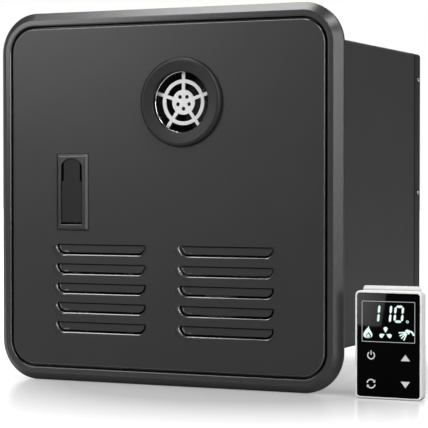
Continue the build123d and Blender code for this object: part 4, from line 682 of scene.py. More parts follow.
class Wardrobe:
    """Makes each finish once and puts it on nodes and new pieces."""

    def __init__(self, effects: Effects) -> None:
        """Keep the shared effects; materials are made when first asked for."""
        self.effects = effects
        self.made: dict[Finishes, bpy.types.Material] = {}

    def material(self, finish: Finishes) -> bpy.types.Material:
        """The material of a finish, made at its first use.

        Args:
            finish: the finish.

        Returns:
            Its material.
        """
        if finish not in self.made:
            self.made[finish] = finish.value.material(self.effects)
        return self.made[finish]

    def dress(self, finish: Finishes, *nodes: str) -> None:
        """Put a finish on solids.

        Args:
            finish: the finish.
            nodes: names of the solids.
        """
        for node in nodes:
            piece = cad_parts[node]
            if not piece.material_slots:
                piece.data.materials.append(None)
            for slot in piece.material_slots:
                slot.material = self.material(finish)
            LOG.info("dressed %s with %s", node, finish.value.name)

    def piece(
        self, name: str, patches: list[Patch], finish: Finishes, body: str, slot: str, smooth: bool = True
    ) -> bpy.types.Object:
        """Make a new piece that wears a finish and rides on a body.

        Args:
            name: the piece's name.
            patches: vertices and faces of each patch.
            finish: the finish.
            body: the body that it rides on.
            slot: the material slot that it counts to; not used.
            smooth: whether its faces shade smoothly.

        Returns:
            The piece.
        """
        piece = new_piece(name, patches, smooth)
        piece.data.materials.append(self.material(finish))
        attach(piece, body)
        return piece


class Assembly:
    """A sub-assembly: the finishes that its solids wear, and the pieces that it adds."""

    wears: ClassVar[dict[Finishes, str]] = {}

    def build(self, wardrobe: Wardrobe) -> None:
        """Add no piece; an assembly with new pieces has its own build."""

    def dress(self, wardrobe: Wardrobe) -> None:
        """Put its finish on every solid."""
        for finish, nodes in self.wears.items():
            wardrobe.dress(finish, *nodes.split())


@dataclass
class PanScrew:
    """A pan-head screw with a cross recess."""

    head_radius: float = 0.00275
    head_height: float = 0.0018
    shank_radius: float = 0.0016
    shank_length: float = 0.0055
    recess_width: float = 0.00036
    recess_reach: float = 0.0016
    recess_depth: float = 0.0008
    crown_hole: float = 0.04
    side_fall: float = 1.6
    end_fall: Flat = (3.0, 2.4)
    crown_rows: int = 16
    around: int = 48

    def rings(self) -> np.ndarray:
        """The screw's rings about +Z, with its seat at the origin.

        The head is a quarter ellipse on a straight rim, each half of its height, turned about the axis. The
        recess lowers it by a depth times a cross, and the shank is a plain cylinder below the seat.

        Returns:
            Points, by ring, by place round it, by coordinate.
        """
        lift = np.linspace(self.crown_hole, 1.0, self.crown_rows)
        crown = np.stack([self.head_radius * lift, self.head_height * (0.5 + 0.5 * np.sqrt(1 - lift**2))], axis=-1)
        below = [[self.head_radius, 0.0], [self.shank_radius, 0.0], [self.shank_radius, -self.shank_length]]
        profile = np.concatenate([crown, below])
        angle = np.linspace(0, 2 * np.pi, self.around, endpoint=False)
        x = profile[:, :1] * np.cos(angle)
        y = profile[:, :1] * np.sin(angle)
        z = np.repeat(profile[:, 1:], self.around, axis=1)
        cross = np.maximum(self._bar(x, y), self._bar(y, x))
        z[: len(crown)] -= self.recess_depth * cross[: len(crown)]
        return np.stack([x, y, z], axis=-1)

    def _bar(self, across: np.ndarray, along: np.ndarray) -> np.ndarray:
        """One bar of the cross: one inside it, falling in straight lines to nothing past its sides and ends.

        Args:
            across: distances across the bar.
            along: distances along it.

        Returns:
            The bar's share at each point.
        """
        side = np.clip(self.side_fall - np.abs(across) / self.recess_width, 0, 1)
        return side * np.clip(self.end_fall[0] - self.end_fall[1] * np.abs(along) / self.recess_reach, 0, 1)

    def at(self, seat: Point, way: Point) -> Patch:
        """A screw seated at a point with its head along a direction.

        Args:
            seat: the middle of the head's underside.
            way: unit direction from the seat to the head.

        Returns:
            Its vertices and faces.
        """
        axis = np.array(way, float)
        side = np.cross(axis, [0.0, 0.0, 1.0] if abs(axis[2]) < 0.5 else [1.0, 0.0, 0.0])
        basis = np.stack([side, np.cross(axis, side), axis])
        return closed_shell(self.rings() @ basis + np.array(seat))


@dataclass
class ScrewThread:
    """A rolled thread round a nipple, with its lower line on the plain cylinder."""

    radius: float
    start: float
    length: float
    pitch: float = 0.0018
    depth: float = 0.0005
    sunk: float = 0.00002
    around: int = 48
    steps: int = 9

    def along_y(self, x: float, z: float) -> Patch:
        """The thread about a line along Y.

        The radius is the root plus the depth times a triangle wave of the distance less the turn, so the
        crest climbs one pitch in each turn, and it fades to the root at both ends.

        Args:
            x: place of the axis.
            z: place of the axis.

        Returns:
            Its vertices and faces.
        """
        run = np.linspace(0.0, self.length, int(self.length / self.pitch * self.steps))[:, None]
        turn = np.linspace(0, 2 * np.pi, self.around, endpoint=False)[None]
        phase = run / self.pitch - turn / (2 * np.pi)
        wave = 1 - 2 * np.abs(phase - np.floor(phase) - 0.5)
        fade = np.clip(np.minimum(run, self.length - run) / self.pitch, 0, 1)
        reach = self.radius - self.sunk + self.depth * wave * fade
        y = np.broadcast_to(self.start + run, reach.shape)
        return sheet_patch(np.stack([x + reach * np.cos(turn), y, z - reach * np.sin(turn)], axis=-1), True)


@dataclass
class LouverRims(Assembly):
    """The rolled edges round the door's louvers, each tongue's turned-up left edge and a black bead above it that
    paints the shade in the fold.
    """

    columns: Flat = (-0.070, 0.070)
    first_edge: float = -0.1285
    pitch: float = 0.020
    rows: int = 5
    half: float = 0.051
    depth: float = 0.0106
    corner: float = 0.009
    slot: float = 0.0022
    sheet: float = 0.001
    rim_width: float = 0.0017
    rim_height: float = 0.0012
    rim_flank: float = 0.0045
    rim_rows: int = 10
    rim_crown: float = 0.25
    rim_skirt: float = 0.5
    rim_ends: int = 3
    flank_sink: float = 0.02
    share_at: tuple[float, ...] = (-1.0, -0.86, -0.78, 0.8, 1.0)
    wide_share: tuple[float, ...] = (1.15, 0.95, 0.55, 0.45, 0.45)
    tall_share: tuple[float, ...] = (1.15, 0.75, 0.34, 0.27, 0.3)
    turn_width: float = 0.0013
    turn_height: float = 0.0007
    turn_points: int = 20
    turn_sink: float = 0.00005
    turn_fade: int = 10
    turn_least: float = 0.02
    # height of the black bead that paints the shade in the fold above each tongue
    shade_bead_height: float = 0.0012

    def outline(self, inset: float) -> np.ndarray:
        """The louver's sides and foot about the middle of its top edge, from the top left to the top right.

        It is straight down, round a quarter circle, along the foot, round another and straight up.

        Args:
            inset: how far the outline is drawn in on all sides but the top.

        Returns:
            Points as right and up distances.
        """
        half, depth, corner = self.half - inset, self.depth - inset, self.corner - inset
        turned = rays(np.radians(np.linspace(180, 270, 17))) * corner
        left = turned + [corner - half, corner - depth]
        right = turned[::-1] * [-1, 1] + [half - corner, corner - depth]
        foot = np.linspace(left[-1], right[0], 42)[1:-1]
        return np.concatenate([[[-half, 0.0]], left, foot, right, [[half, 0.0]]])

    @staticmethod
    def rim(path: np.ndarray, across: np.ndarray, high: np.ndarray, wide: np.ndarray, tall: np.ndarray) -> np.ndarray:
        """A profile carried along a path, outward by its width and forward by its height, each times its share.

        Args:
            path: points as right and up distances.
            across: the profile's distances outward from the path.
            high: the profile's heights.
            wide: the part of the profile's width at each point of the path.
            tall: the part of the profile's height at each point of the path.

        Returns:
            Points, by place across, by place along, by right, up and forward distance.
        """
        along = np.gradient(path, axis=0)
        along /= np.linalg.norm(along, axis=1, keepdims=True)
        outward = np.stack([along[:, 1], -along[:, 0]], axis=-1)
        place = path[None] + outward[None] * (across[:, None] * wide[None])[..., None]
        return np.concatenate([place, (high[:, None] * tall[None])[..., None]], axis=-1)

    def sheet_rim(self) -> np.ndarray:
        """The sheet's rim: a slightly crowned chamfer up from the slot, then a long half cosine back to the sheet.

        Returns:
            Points, by place across, by place along, by right, up and forward distance.
        """
        path = self.outline(0.0)
        rise = np.linspace(0, 1, self.rim_rows - 1)
        fall = np.linspace(0, 1, 9)[1:]
        across = np.concatenate([[0.0], self.rim_width * rise, self.rim_width + self.rim_flank * fall])
        crown = rise * (1 + self.rim_crown * (1 - rise))
        flank = 1 - (1 + self.flank_sink) * (1 - np.cos(np.pi * fall)) / 2
        high = self.rim_height * np.concatenate([[-self.rim_skirt], crown, flank])
        place = np.arange(len(path))
        ends = np.clip((np.minimum(place, place[::-1]) + 1) / self.rim_ends, 0, 1)
        along = path[:, 0] / self.half
        wide, tall = (np.interp(along, self.share_at, share) for share in (self.wide_share, self.tall_share))
        return self.rim(path, across, high, ends * wide, ends * tall)

    def turned_edge(self) -> np.ndarray:
        """The tongue's left edge: a quarter ellipse up toward the slot that dies out along the foot.

        Returns:
            Points, by place across, by place along, by right, up and forward distance.
        """
        path = self.outline(self.slot)[:self.turn_points]
        rise = np.radians(np.linspace(0, 90, 9))
        across = np.concatenate([-self.turn_width * np.cos(rise), [self.turn_sink]])
        high = self.turn_height * np.concatenate([np.sin(rise), [-self.rim_skirt]])
        fade = np.clip((len(path) - np.arange(len(path))) / self.turn_fade, self.turn_least, 1)
        return self.rim(path, across, high, np.ones(len(path)), fade) - [0.0, 0.0, self.sheet]

    def louver_shade_bead(self) -> np.ndarray:
        """A black quarter round drawn along the top edge in the fold above a tongue, painted shade standing in for the
        fold's shadow.

        Returns:
            Points, by place across, by place along, by right, up and forward distance.
        """
        run = np.linspace(self.half - self.slot, -self.half + self.slot, 30)[None]
        turn = np.radians(np.linspace(0, 90, 9))[:, None]
        grid = np.broadcast_arrays(run, -self.shade_bead_height * np.sin(turn), self.sheet * (np.cos(turn) - 1.0))
        return np.stack(grid, axis=-1)

    def patches(self, rim: np.ndarray, front: float) -> list[Patch]:
        """A rim at every louver.

        Args:
            rim: its points about the middle of the louver's top edge.
            front: depth of the door's face.

        Returns:
            Vertices and faces of each.
        """
        spots = [(x, self.first_edge + row * self.pitch) for x in self.columns for row in range(self.rows)]
        right, up, forward = (rim[..., axis] for axis in range(3))
        return [sheet_patch(np.stack([right + x, front - forward, up + z], axis=-1), False, -1) for x, z in spots]

    def build(self, wardrobe: Wardrobe) -> None:
        """Make the rims, turned edges and painted-shade beads of every louver.

        Args:
            wardrobe: puts finishes on the pieces.
        """
        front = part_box("door_panel")[0].y
        rim = self.sheet_rim()
        for name, shapes, finish, slot in (
            ("louver_rims", [rim[:self.rim_rows], self.turned_edge()], Finishes.RIM, "door_black"),
            ("louver_flanks", [rim[self.rim_rows - 1:]], Finishes.DOOR, "door_black"),
            # The black bead is painted shade along the fold, though it counts to the rubber slot.
            ("louver_shade_beads", [self.louver_shade_bead()], Finishes.SHADE_BEAD, "gasket_rubber"),
        ):
            patches = [patch for shape in shapes for patch in self.patches(shape, front)]
            wardrobe.piece(name, patches, finish, "door", slot)


@dataclass
class EdgeLines(Assembly):
    """The pressed edge of the door panel and the pressed lip of the frame's opening."""

    door_fillet: float = 0.0018
    lip_fillet: float = 0.0013
    opening_corner: float = 0.027
    door_gap: float = 0.0024
    reach: float = 0.0005
    tuck: float = 0.0003
    door_tilt: Flat = (38.0, 42.0)
    lip_tilt: Flat = (38.0, 36.0)
    door_thin: float = 1.0
    lip_thin: float = 0.25
    flat_rows: int = 5
    steps: int = 24

    def chamfer(self, fillet: float, tilts: Flat, thin: float, ray: np.ndarray) -> tuple[np.ndarray, np.ndarray]:
        """The flat that touches a rounded edge at a tilt, which changes between the sides and the top and bottom.

        It is the edge circle's tangent, from the face down to a little past the point where it touches, and it
        is tucked into the edge at both ends.

        Args:
            fillet: radius of the rounded edge.
            tilts: the flat's tilt in degrees on the sides, and at the top and bottom.
            thin: share of its width that it keeps away from the left, so that the hinge side has room to swing.
            ray: outward direction at each point of the path.

        Returns:
            Distances from the edge and depths below the face, by place across, by place along.
        """
        tilt = np.radians(tilts[1] + (tilts[0] - tilts[1]) * np.abs(ray[:, 0]))
        touch, drop = fillet * (1 - np.sin(tilt)), fillet * (1 - np.cos(tilt))
        share = thin + (1 - thin) * np.clip(-ray[:, 0], 0, 1)
        foot, top = touch - share * self.reach, touch + share * drop / np.tan(tilt)
        low, fall = drop + share * self.reach * np.tan(tilt), share * (drop + self.reach * np.tan(tilt))
        part = np.linspace(0, 1, self.flat_rows)[:, None]
        inset = np.concatenate([foot[None], foot + (top - foot) * part, (top + self.tuck)[None]])
        depth = np.concatenate([(low + self.tuck)[None], low - fall * part, np.full((1, len(ray)), self.tuck / 4)])
        return inset, depth

    def build(self, wardrobe: Wardrobe) -> None:
        """Carry the flat round the door panel, drawn in, and round the frame's opening, drawn out.

        Args:
            wardrobe: puts finishes on the pieces.
        """
        low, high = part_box("door_panel")
        door = (self.door_fillet, self.door_tilt, self.door_thin)
        lip = (self.lip_fillet, self.lip_tilt, self.lip_thin)
        for name, body, slot, edge, gap, way in (
            ("door_edge_line", "door", "door_black", door, 0.0, -1),
            ("frame_lip_line", "heater", "frame_black", lip, self.door_gap, 1),
        ):
            half = (high.x + gap, high.z + gap)
            path, ray = rounded_square(half, self.opening_corner - self.door_gap + gap, self.steps)
            inset, depth = self.chamfer(*edge, ray)
            flat = path[None] + way * inset[..., None] * ray[None]
            points = np.stack([flat[..., 0], low.y + depth, flat[..., 1]], axis=-1)[::-way]
            wardrobe.piece(name, [sheet_patch(points, True)], Finishes.RIM, body, slot)


@dataclass
class FlueRoll(Assembly):
    """The rolled edge of the flue's mouth inside the exhaust bezel."""

    radius: float = 0.0310
    roll: float = 0.0007
    curl: Flat = (-60.0, 240.0)
    curl_rows: int = 25
    around: int = 128

    def build(self, wardrobe: Wardrobe) -> None:
        """Make the roll, most of a circle carried round the flue, open where it meets the tube's wall.

        Args:
            wardrobe: puts finishes on the pieces.
        """
        low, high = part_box("flue_tube")
        turn = np.linspace(0, 2 * np.pi, self.around, endpoint=False)[None]
        curl = np.radians(np.linspace(*self.curl, self.curl_rows))[:, None]
        reach = self.radius - self.roll * np.cos(curl)
        x = (low.x + high.x) / 2 + reach * np.cos(turn)
        y = np.broadcast_to(low.y - self.roll * np.sin(curl), x.shape)
        z = (low.z + high.z) / 2 + reach * np.sin(turn)
        patch = sheet_patch(np.stack([x, y, z], axis=-1), True)
        wardrobe.piece("flue_mouth_roll", [patch], Finishes.MOUTH, "heater", "stainless")


@dataclass
class CaseShell(Assembly):
    """The case wrap, its rear cover, screws, grommet and the threaded fittings behind it."""

    screw: PanScrew
    screw_line: float = 0.011
    screw_spread: float = 0.128
    corner: float = 0.004
    seam: float = -0.0004
    bead_half: float = 0.0013
    bead_height: float = 0.00025
    bead_crown: float = 0.95
    bead_rows: int = 9
    corner_points: int = 9
    water_thread: Flat = (0.0105, 0.020)
    gas_thread: Flat = (0.0079, 0.018)

    wears = {
        Finishes.CASE: "case_wrap",
        Finishes.COVER: "rear_cover",
        Finishes.RUBBER: "cable_grommet",
        Finishes.BRASS: "cold_inlet hot_outlet gas_inlet drain_plug",
        Finishes.PLATED: "cover_screws",
    }

    def build(self, wardrobe: Wardrobe) -> None:
        """Make the cover's screws, the black bead of painted shade along the joint and the fittings' threads.

        Args:
            wardrobe: puts finishes on the pieces.
        """
        low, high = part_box("rear_cover")
        middle = (low.z + high.z) / 2
        line = low.y + self.screw_line
        patches = []
        for step in (-self.screw_spread, 0.0, self.screw_spread):
            for x, way in ((high.x, 1.0), (low.x, -1.0)):
                patches.append(self.screw.at((x, line, middle + step), (way, 0.0, 0.0)))
            for z, way in ((high.z, 1.0), (low.z, -1.0)):
                patches.append(self.screw.at((step, line, z), (0.0, 0.0, way)))
        heads = wardrobe.piece("cover_screw_heads", patches, Finishes.PLATED, "heater", "zinc_steel")
        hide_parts("cover_screws")
        # A black bead paints the shade line of the cover's joint.
        wardrobe.piece("cover_joint_shade_bead", [self.bead(low, high)], Finishes.SHADE_BEAD, "heater", "gasket_rubber")
        for node, (radius, length) in (
            ("cold_inlet", self.water_thread), ("hot_outlet", self.water_thread), ("gas_inlet", self.gas_thread),
        ):
            first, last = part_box(node)
            thread = ScrewThread(radius, last.y - length, length)
            patch = thread.along_y((first.x + last.x) / 2, (first.z + last.z) / 2)
            wardrobe.piece(f"{node}_thread", [patch], Finishes.BRASS, "heater", "brass")

    def bead(self, low: Vector, high: Vector) -> Patch:
        """A black bead along the joint of the case wrap and the rear cover, a low parabola carried round the case, that
        paints the joint's shadow line.

        Args:
            low: the rear cover's lowest corner.
            high: the rear cover's highest corner.

        Returns:
            Its vertices and faces.
        """
        path, ray = rounded_square(((high.x - low.x) / 2, (high.z - low.z) / 2), self.corner, self.corner_points)
        path += [(high.x + low.x) / 2, (high.z + low.z) / 2]
        part = np.linspace(-1, 1, self.bead_rows)[:, None]
        flat = path[None] + (self.bead_height * (self.bead_crown - part**2))[..., None] * ray[None]
        depth = np.broadcast_to(low.y + self.seam + self.bead_half * part, flat.shape[:2])
        return sheet_patch(np.stack([flat[..., 0], depth, flat[..., 1]], axis=-1), True, -1)


@dataclass
class DoorSet(Assembly):
    """The square frame, the flush door, their seals, hinges, exhaust and latch."""

    screw: PanScrew
    screw_reach: float = 0.0075
    screw_spread: float = 0.090
    screw_seat: float = -0.0015

    wears = {
        Finishes.FRAME: "door_frame",
        Finishes.DOOR: "door_panel",
        Finishes.RUBBER: "wall_gasket door_gasket",
        Finishes.BEZEL: "exhaust_bezel",
        Finishes.LATCH: "latch_housing",
        Finishes.LEVER: "latch_lever",
        Finishes.GUARD: "exhaust_guard",
        Finishes.STAINLESS: "flue_tube",
        Finishes.PLATED: "hinge_pins frame_screws latch_pin latch_bolt bolt_guides",
    }

    def build(self, wardrobe: Wardrobe) -> None:
        """Make the screws that hold the case's flange to the frame.

        Args:
            wardrobe: puts finishes on the pieces.
        """
        low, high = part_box("case_wrap")
        side, middle = high.x - self.screw_reach, (low.z + high.z) / 2
        spots: list[Flat] = []
        for step in (-self.screw_spread, self.screw_spread):
            spots += [(x, middle + step) for x in (-side, side)]
            spots += [(step, z) for z in (high.z - self.screw_reach, low.z + self.screw_reach)]
        patches = [self.screw.at((x, self.screw_seat, z), (0.0, -1.0, 0.0)) for x, z in spots]
        heads = wardrobe.piece("frame_screw_heads", patches, Finishes.PLATED, "heater", "zinc_steel")
        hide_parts("frame_screws")


@dataclass
class Workings(Assembly):
    """Everything that the case hides: blower, burner, exchanger, pipes and controls."""

    wears = {
        Finishes.STAINLESS: "burner_tray burner_blades combustion_chamber flue_hood",
        Finishes.COPPER: "exchanger_shell exchanger_fins water_coil inlet_pipe outlet_pipe cold_pipe",
        Finishes.PLATED: "support_rails blower_motor blower_shaft gas_pipe solenoid_plunger overheat_switches",
        Finishes.ALLOY: "gas_valve gas_manifold",
        Finishes.FAN: "blower_housing blower_impeller",
        Finishes.COIL: "solenoid_coil spark_module",
        Finishes.CERAMIC: "electrodes",
        Finishes.SENSOR: "flow_sensor control_box",
        Finishes.ROTOR: "flow_rotor",
        Finishes.ROCKER: "power_rocker",
        Finishes.BOARD: "control_board",
    }


MILLIMETRE = 0.001
DROP_WIDTH = 1.3  # full width of the curve that a drop follows, about


class Marks:
    """Flat marks on the controller's glass, drawn about the glass's middle in millimetres right and up."""

    def __init__(self, lift: float) -> None:
        """Find the glass's front face.

        Args:
            lift: how far the marks stand off the glass.
        """
        low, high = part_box("controller_glass")
        self.middle = np.array([(low.x + high.x) / 2, low.y - lift, (low.z + high.z) / 2])

    def on_glass(self, flat: np.ndarray) -> np.ndarray:
        """Put flat points on the glass.

        Args:
            flat: points as right and up distances in millimetres.

        Returns:
            Points in the shared frame, in metres.
        """
        flat = np.asarray(flat, float) * MILLIMETRE
        return self.middle + np.stack([flat[..., 0], np.zeros(flat.shape[:-1]), flat[..., 1]], axis=-1)

    def shape(self, outline: np.ndarray, middle: np.ndarray | None = None) -> Patch:
        """A filled mark inside an outline that runs anticlockwise, drawn from a middle or from its points' mean."""
        return fan(self.on_glass(outline), self.on_glass(outline.mean(axis=0) if middle is None else middle))

    def ribbon(self, inner: np.ndarray, outer: np.ndarray, closed: bool) -> Patch:
        """A mark between two lines."""
        return strip(self.on_glass(inner), self.on_glass(outer), closed)

    def arc(self, middle: Flat, radius: float, width: float, start: float, end: float) -> Patch:
        """A ribbon of a circle.

        Args:
            middle: the circle's middle.
            radius: radius of the ribbon's middle line.
            width: the ribbon's width.
            start: first angle in degrees.
            end: last angle in degrees.

        Returns:
            Its vertices and faces.
        """
        ray = rays(np.radians(np.linspace(start, end, 49)))
        inner, outer = (np.array(middle) + (radius + side * width / 2) * ray for side in (-1, 1))
        return self.ribbon(inner, outer, False)

    def bar(self, start: Flat | np.ndarray, end: Flat | np.ndarray, width: float) -> Patch:
        """A straight bar between two points, with square ends."""
        return self.shape(bar_outline(np.array(start), np.array(end), width, 0.0))


def bar_outline(start: np.ndarray, end: np.ndarray, width: float, point: float) -> np.ndarray:
    """The anticlockwise outline of a bar between two points.

    Args:
        start: the middle of its first end.
        end: the middle of its last end.
        width: the bar's width.
        point: length of the point at each end, nothing for a square end.

    Returns:
        Four corners, or six points where the ends are pointed.
    """
    along = (end - start) / np.linalg.norm(end - start)
    across = np.array([-along[1], along[0]]) * width / 2
    first, last = start + along * point, end - along * point
    sides = [first - across, last - across, last + across, first + across]
    return np.stack([start, *sides[:2], end, *sides[2:]] if point else sides)


@dataclass
class WallController(Assembly):
    """The controller that hangs on its bracket beside the heater, with its lit marks in millimetres."""

    lift: float = 0.00006
    digit_height: float = 16.4
    digit_width: float = 9.6
    digit_stroke: float = 2.3
    digit_gap: float = 0.35
    digit_slant: float = 0.09
    digit_base: float = 21.8
    digit_lefts: tuple[float, ...] = (-18.6, -6.9, 5.0)
    digits: tuple[str, ...] = ("hi", "hi", "abcdef")
    window: tuple[float, float, float, float] = (-26.1, 3.1, 26.3, 41.5)
    window_corner: float = 0.5
    window_line: Flat = (0.28, 0.72)
    flame: tuple[Flat, float, float, float] = ((-20.3, 12.2), 9.2, 11.6, 4.0)
    flame_hollow: tuple[Flat, float, float, float] = ((-19.6, 9.6), 5.2, 5.4, 2.0)
    flame_core: tuple[Flat, float, float, float] = ((-19.9, 9.0), 3.4, 3.4, 1.0)
    core_middle: Flat = (-19.9, 8.6)
    fan_hub: Flat = (-2.6, 11.0)
    blade_reach: Flat = (3.7, 2.8)
    blade_swing: Flat = (0.3, 0.035)
    fan_blades: tuple[float, ...] = (90.0, 205.0, 335.0)
    rose: Flat = (19.0, 13.2)
    rose_radius: float = 2.5
    rose_turn: Flat = (-60.0, 155.0)
    spray_arm: tuple[Flat, float, float, float, float] = ((20.4, 9.4), 4.9, 1.7, 8.0, 100.0)
    spray_rays: tuple[float, ...] = (186.0, 206.0, 226.0, 246.0)
    spray_run: Flat = (1.4, 8.6)
    spray_width: float = 1.3
    degree_ring: tuple[Flat, float, float, float, float] = ((19.0, 23.0), 1.0, 0.6, 0.0, 360.0)
    key_x: Flat = (-17.0, 17.1)
    key_z: Flat = (-10.0, -37.0)
    power_radius: float = 3.4
    power_stroke: float = 1.1
    power_turn: Flat = (125.0, 415.0)
    power_bar: Flat = (0.6, 4.6)
    loop_radius: float = 4.0
    loop_stroke: float = 1.2
    loop_starts: Flat = (20.0, 200.0)
    loop_turn: Flat = (14.0, 150.0)
    loop_head: tuple[Flat, ...] = ((0.0, -8.0), (1.7, 20.0), (-1.7, 20.0))
    arrow_half: Flat = (4.6, 3.0)
    arrow_shift: Flat = (-1.2, 0.3)

    wears = {
        Finishes.WHITE: "controller_shell controller_back wall_bracket",
        Finishes.GLASS: "controller_glass",
        Finishes.SCREEN: "controller_display",
        Finishes.BOARD: "controller_board",
        Finishes.COIL: "controller_socket",
    }

    def digit(self, marks: Marks, left: float, lit: str) -> list[Patch]:
        """One seven-segment digit.

        Each segment is a bar with pointed ends along a side of a two-storey box, and the whole digit leans
        right by the slant times the height.

        Args:
            marks: places flat points on the glass.
            left: the digit's left side.
            lit: letters of the segments that are lit, from a at the top round to f, g in the middle, and h and i for
                the two long halves of a one.

        Returns:
            A patch for each lit segment.
        """
        half = self.digit_stroke / 2
        low, mid, top = half, self.digit_height / 2, self.digit_height - half
        west, east = half, self.digit_width - half
        ends = {
            "a": ((west, top), (east, top)), "b": ((east, mid), (east, top)), "c": ((east, low), (east, mid)),
            "d": ((west, low), (east, low)), "e": ((west, low), (west, mid)), "f": ((west, mid), (west, top)),
            "g": ((west, mid), (east, mid)), "h": ((east, mid), (east, top + half)), "i": ((east, 0.0), (east, mid)),
        }
        patches = []
        for letter in lit:
            first, last = (np.array(end) for end in ends[letter])
            gap = (last - first) / np.linalg.norm(last - first) * self.digit_gap
            outline = bar_outline(first + gap, last - gap, self.digit_stroke, half)
            outline[:, 0] += self.digit_slant * outline[:, 1] + left
            outline[:, 1] += self.digit_base
            patches.append(marks.shape(outline))
        return patches

    @staticmethod
    def drop(middle: Flat, width: float, height: float, lean: float) -> np.ndarray:
        """An anticlockwise drop with its point up.

        Its half width is the sine of the turn times the square of the sine of half of it, and its height is the cosine
        of the turn, so it comes to a point at the top and is round below.

        Args:
            middle: the drop's middle.
            width: its full width, about.
            height: its full height.
            lean: sideways shift of the point.

        Returns:
            The outline's points.
        """
        turn = np.linspace(0, 2 * np.pi, 48, endpoint=False)
        x = -np.sin(turn) * np.sin(turn / 2) ** 2 * width / DROP_WIDTH
        z = np.cos(turn) * height / 2
        x = x + lean * np.clip(z / height, 0, None) ** 2
        return np.stack([middle[0] + x, middle[1] + z], axis=-1)

    def pictograms(self, marks: Marks) -> list[Patch]:
        """The flame, fan and spray signs along the foot of the display, and the small ring after the digits.

        A fan blade's reach is a middle plus the cosine of the turn, and it swings by the sine of the turn, more
        the further out it is.

        Args:
            marks: places flat points on the glass.

        Returns:
            A patch for each stroke.
        """
        outer, hollow = (self.drop(*size)[::-1] for size in (self.flame, self.flame_hollow))
        patches = [
            marks.ribbon(hollow, outer, True),
            marks.shape(self.drop(*self.flame_core), np.array(self.core_middle)),
        ]
        turn = np.linspace(0, 2 * np.pi, 36, endpoint=False)
        reach = self.blade_reach[0] + self.blade_reach[1] * np.cos(turn)
        swing = (self.blade_swing[0] + self.blade_swing[1] * reach) * np.sin(turn)
        for blade in np.radians(self.fan_blades):
            patches.append(marks.shape(np.array(self.fan_hub) + reach[:, None] * rays(blade + swing)))
        rose = np.array(self.rose)
        dome = rose + self.rose_radius * rays(np.radians(np.linspace(*self.rose_turn, 40)))
        patches += [marks.shape(dome, rose), marks.arc(*self.spray_arm)]
        for way in rays(np.radians(self.spray_rays)):
            start, end = (rose + run * way for run in self.spray_run)
            patches.append(marks.bar(start, end, self.spray_width))
        return patches + [marks.arc(*self.degree_ring)]

    def keys(self, marks: Marks) -> list[Patch]:
        """The signs of the touch keys: power, loop, up and down.

        Args:
            marks: places flat points on the glass.

        Returns:
            A patch for each stroke.
        """
        left, right = self.key_x
        upper, lower = self.key_z
        patches = [
            marks.arc((left, upper), self.power_radius, self.power_stroke, *self.power_turn),
            marks.bar(*((left, upper + rise) for rise in self.power_bar), self.power_stroke),
        ]
        past, ahead = np.array(self.loop_head).T
        for start in self.loop_starts:
            turn = (start + angle for angle in self.loop_turn)
            patches.append(marks.arc((left, lower), self.loop_radius, self.loop_stroke, *turn))
            tip = (self.loop_radius + past)[:, None] * rays(np.radians(start + ahead))
            patches.append(marks.shape(np.array([left, lower]) + tip))
        wide, tall = self.arrow_half
        for height, point in ((upper + self.arrow_shift[0], 1), (lower + self.arrow_shift[1], -1)):
            arrow = np.array([right, height]) + [[-wide, -tall * point], [wide, -tall * point], [0.0, tall * point]]
            patches.append(marks.shape(arrow[::point]))
        return patches

    def frame_line(self, marks: Marks) -> list[Patch]:
        """The thin line round the display, a rounded rectangle of a narrow ribbon.

        Args:
            marks: places flat points on the glass.

        Returns:
            The ribbon as one patch.
        """
        west, south, east, north = self.window
        ray = rays(np.radians(np.linspace(0, 360, 64, endpoint=False) + 360 / 128))
        corner = np.sign(ray) * (np.array([east - west, north - south]) / 2 - self.window_corner)
        middle = np.array([east + west, north + south]) / 2
        inner, outer = (middle + corner + reach * ray for reach in self.window_line)
        return [marks.ribbon(inner, outer, True)]

    def build(self, wardrobe: Wardrobe) -> None:
        """Make the lit digits, pictograms, key signs and display line.

        Args:
            wardrobe: puts finishes on the pieces.
        """
        marks = Marks(self.lift)
        places = zip(self.digit_lefts, self.digits)
        digits = [patch for left, lit in places for patch in self.digit(marks, left, lit)]
        for name, patches, finish in (
            ("display_digits", digits, Finishes.DIGIT),
            ("display_signs", self.pictograms(marks), Finishes.DIGIT),
            ("display_line", self.frame_line(marks), Finishes.LINE),
            ("key_signs", self.keys(marks), Finishes.KEY),
        ):
            piece = wardrobe.piece(name, patches, finish, "controller", "display_dark", False)
            body = piece.modifiers.new("thickness", "SOLIDIFY")
            body.thickness = self.lift / 2
            body.offset = -1.0


@dataclass
class SoftBox:
    """A studio lamp: a lit rectangle that faces a point."""

    name: str
    place: Point
    aim: Point
    size: Flat
    power: float
    roll: float = 0.0
    spread: float = math.pi

    def build(self) -> None:
        """Hang the lamp."""
        lamp = bpy.data.lights.new(self.name, "AREA")
        lamp.shape = "RECTANGLE"
        lamp.size, lamp.size_y = self.size
        lamp.energy = self.power
        lamp.spread = self.spread
        stand = bpy.data.objects.new(self.name, lamp)
        x, y, z = np.array(self.aim) - np.array(self.place)
        stand.rotation_euler = (math.atan2(math.hypot(x, y), -z), self.roll, math.atan2(y, x) - math.pi / 2)
        stand.location = self.place
        bpy.context.scene.collection.objects.link(stand)


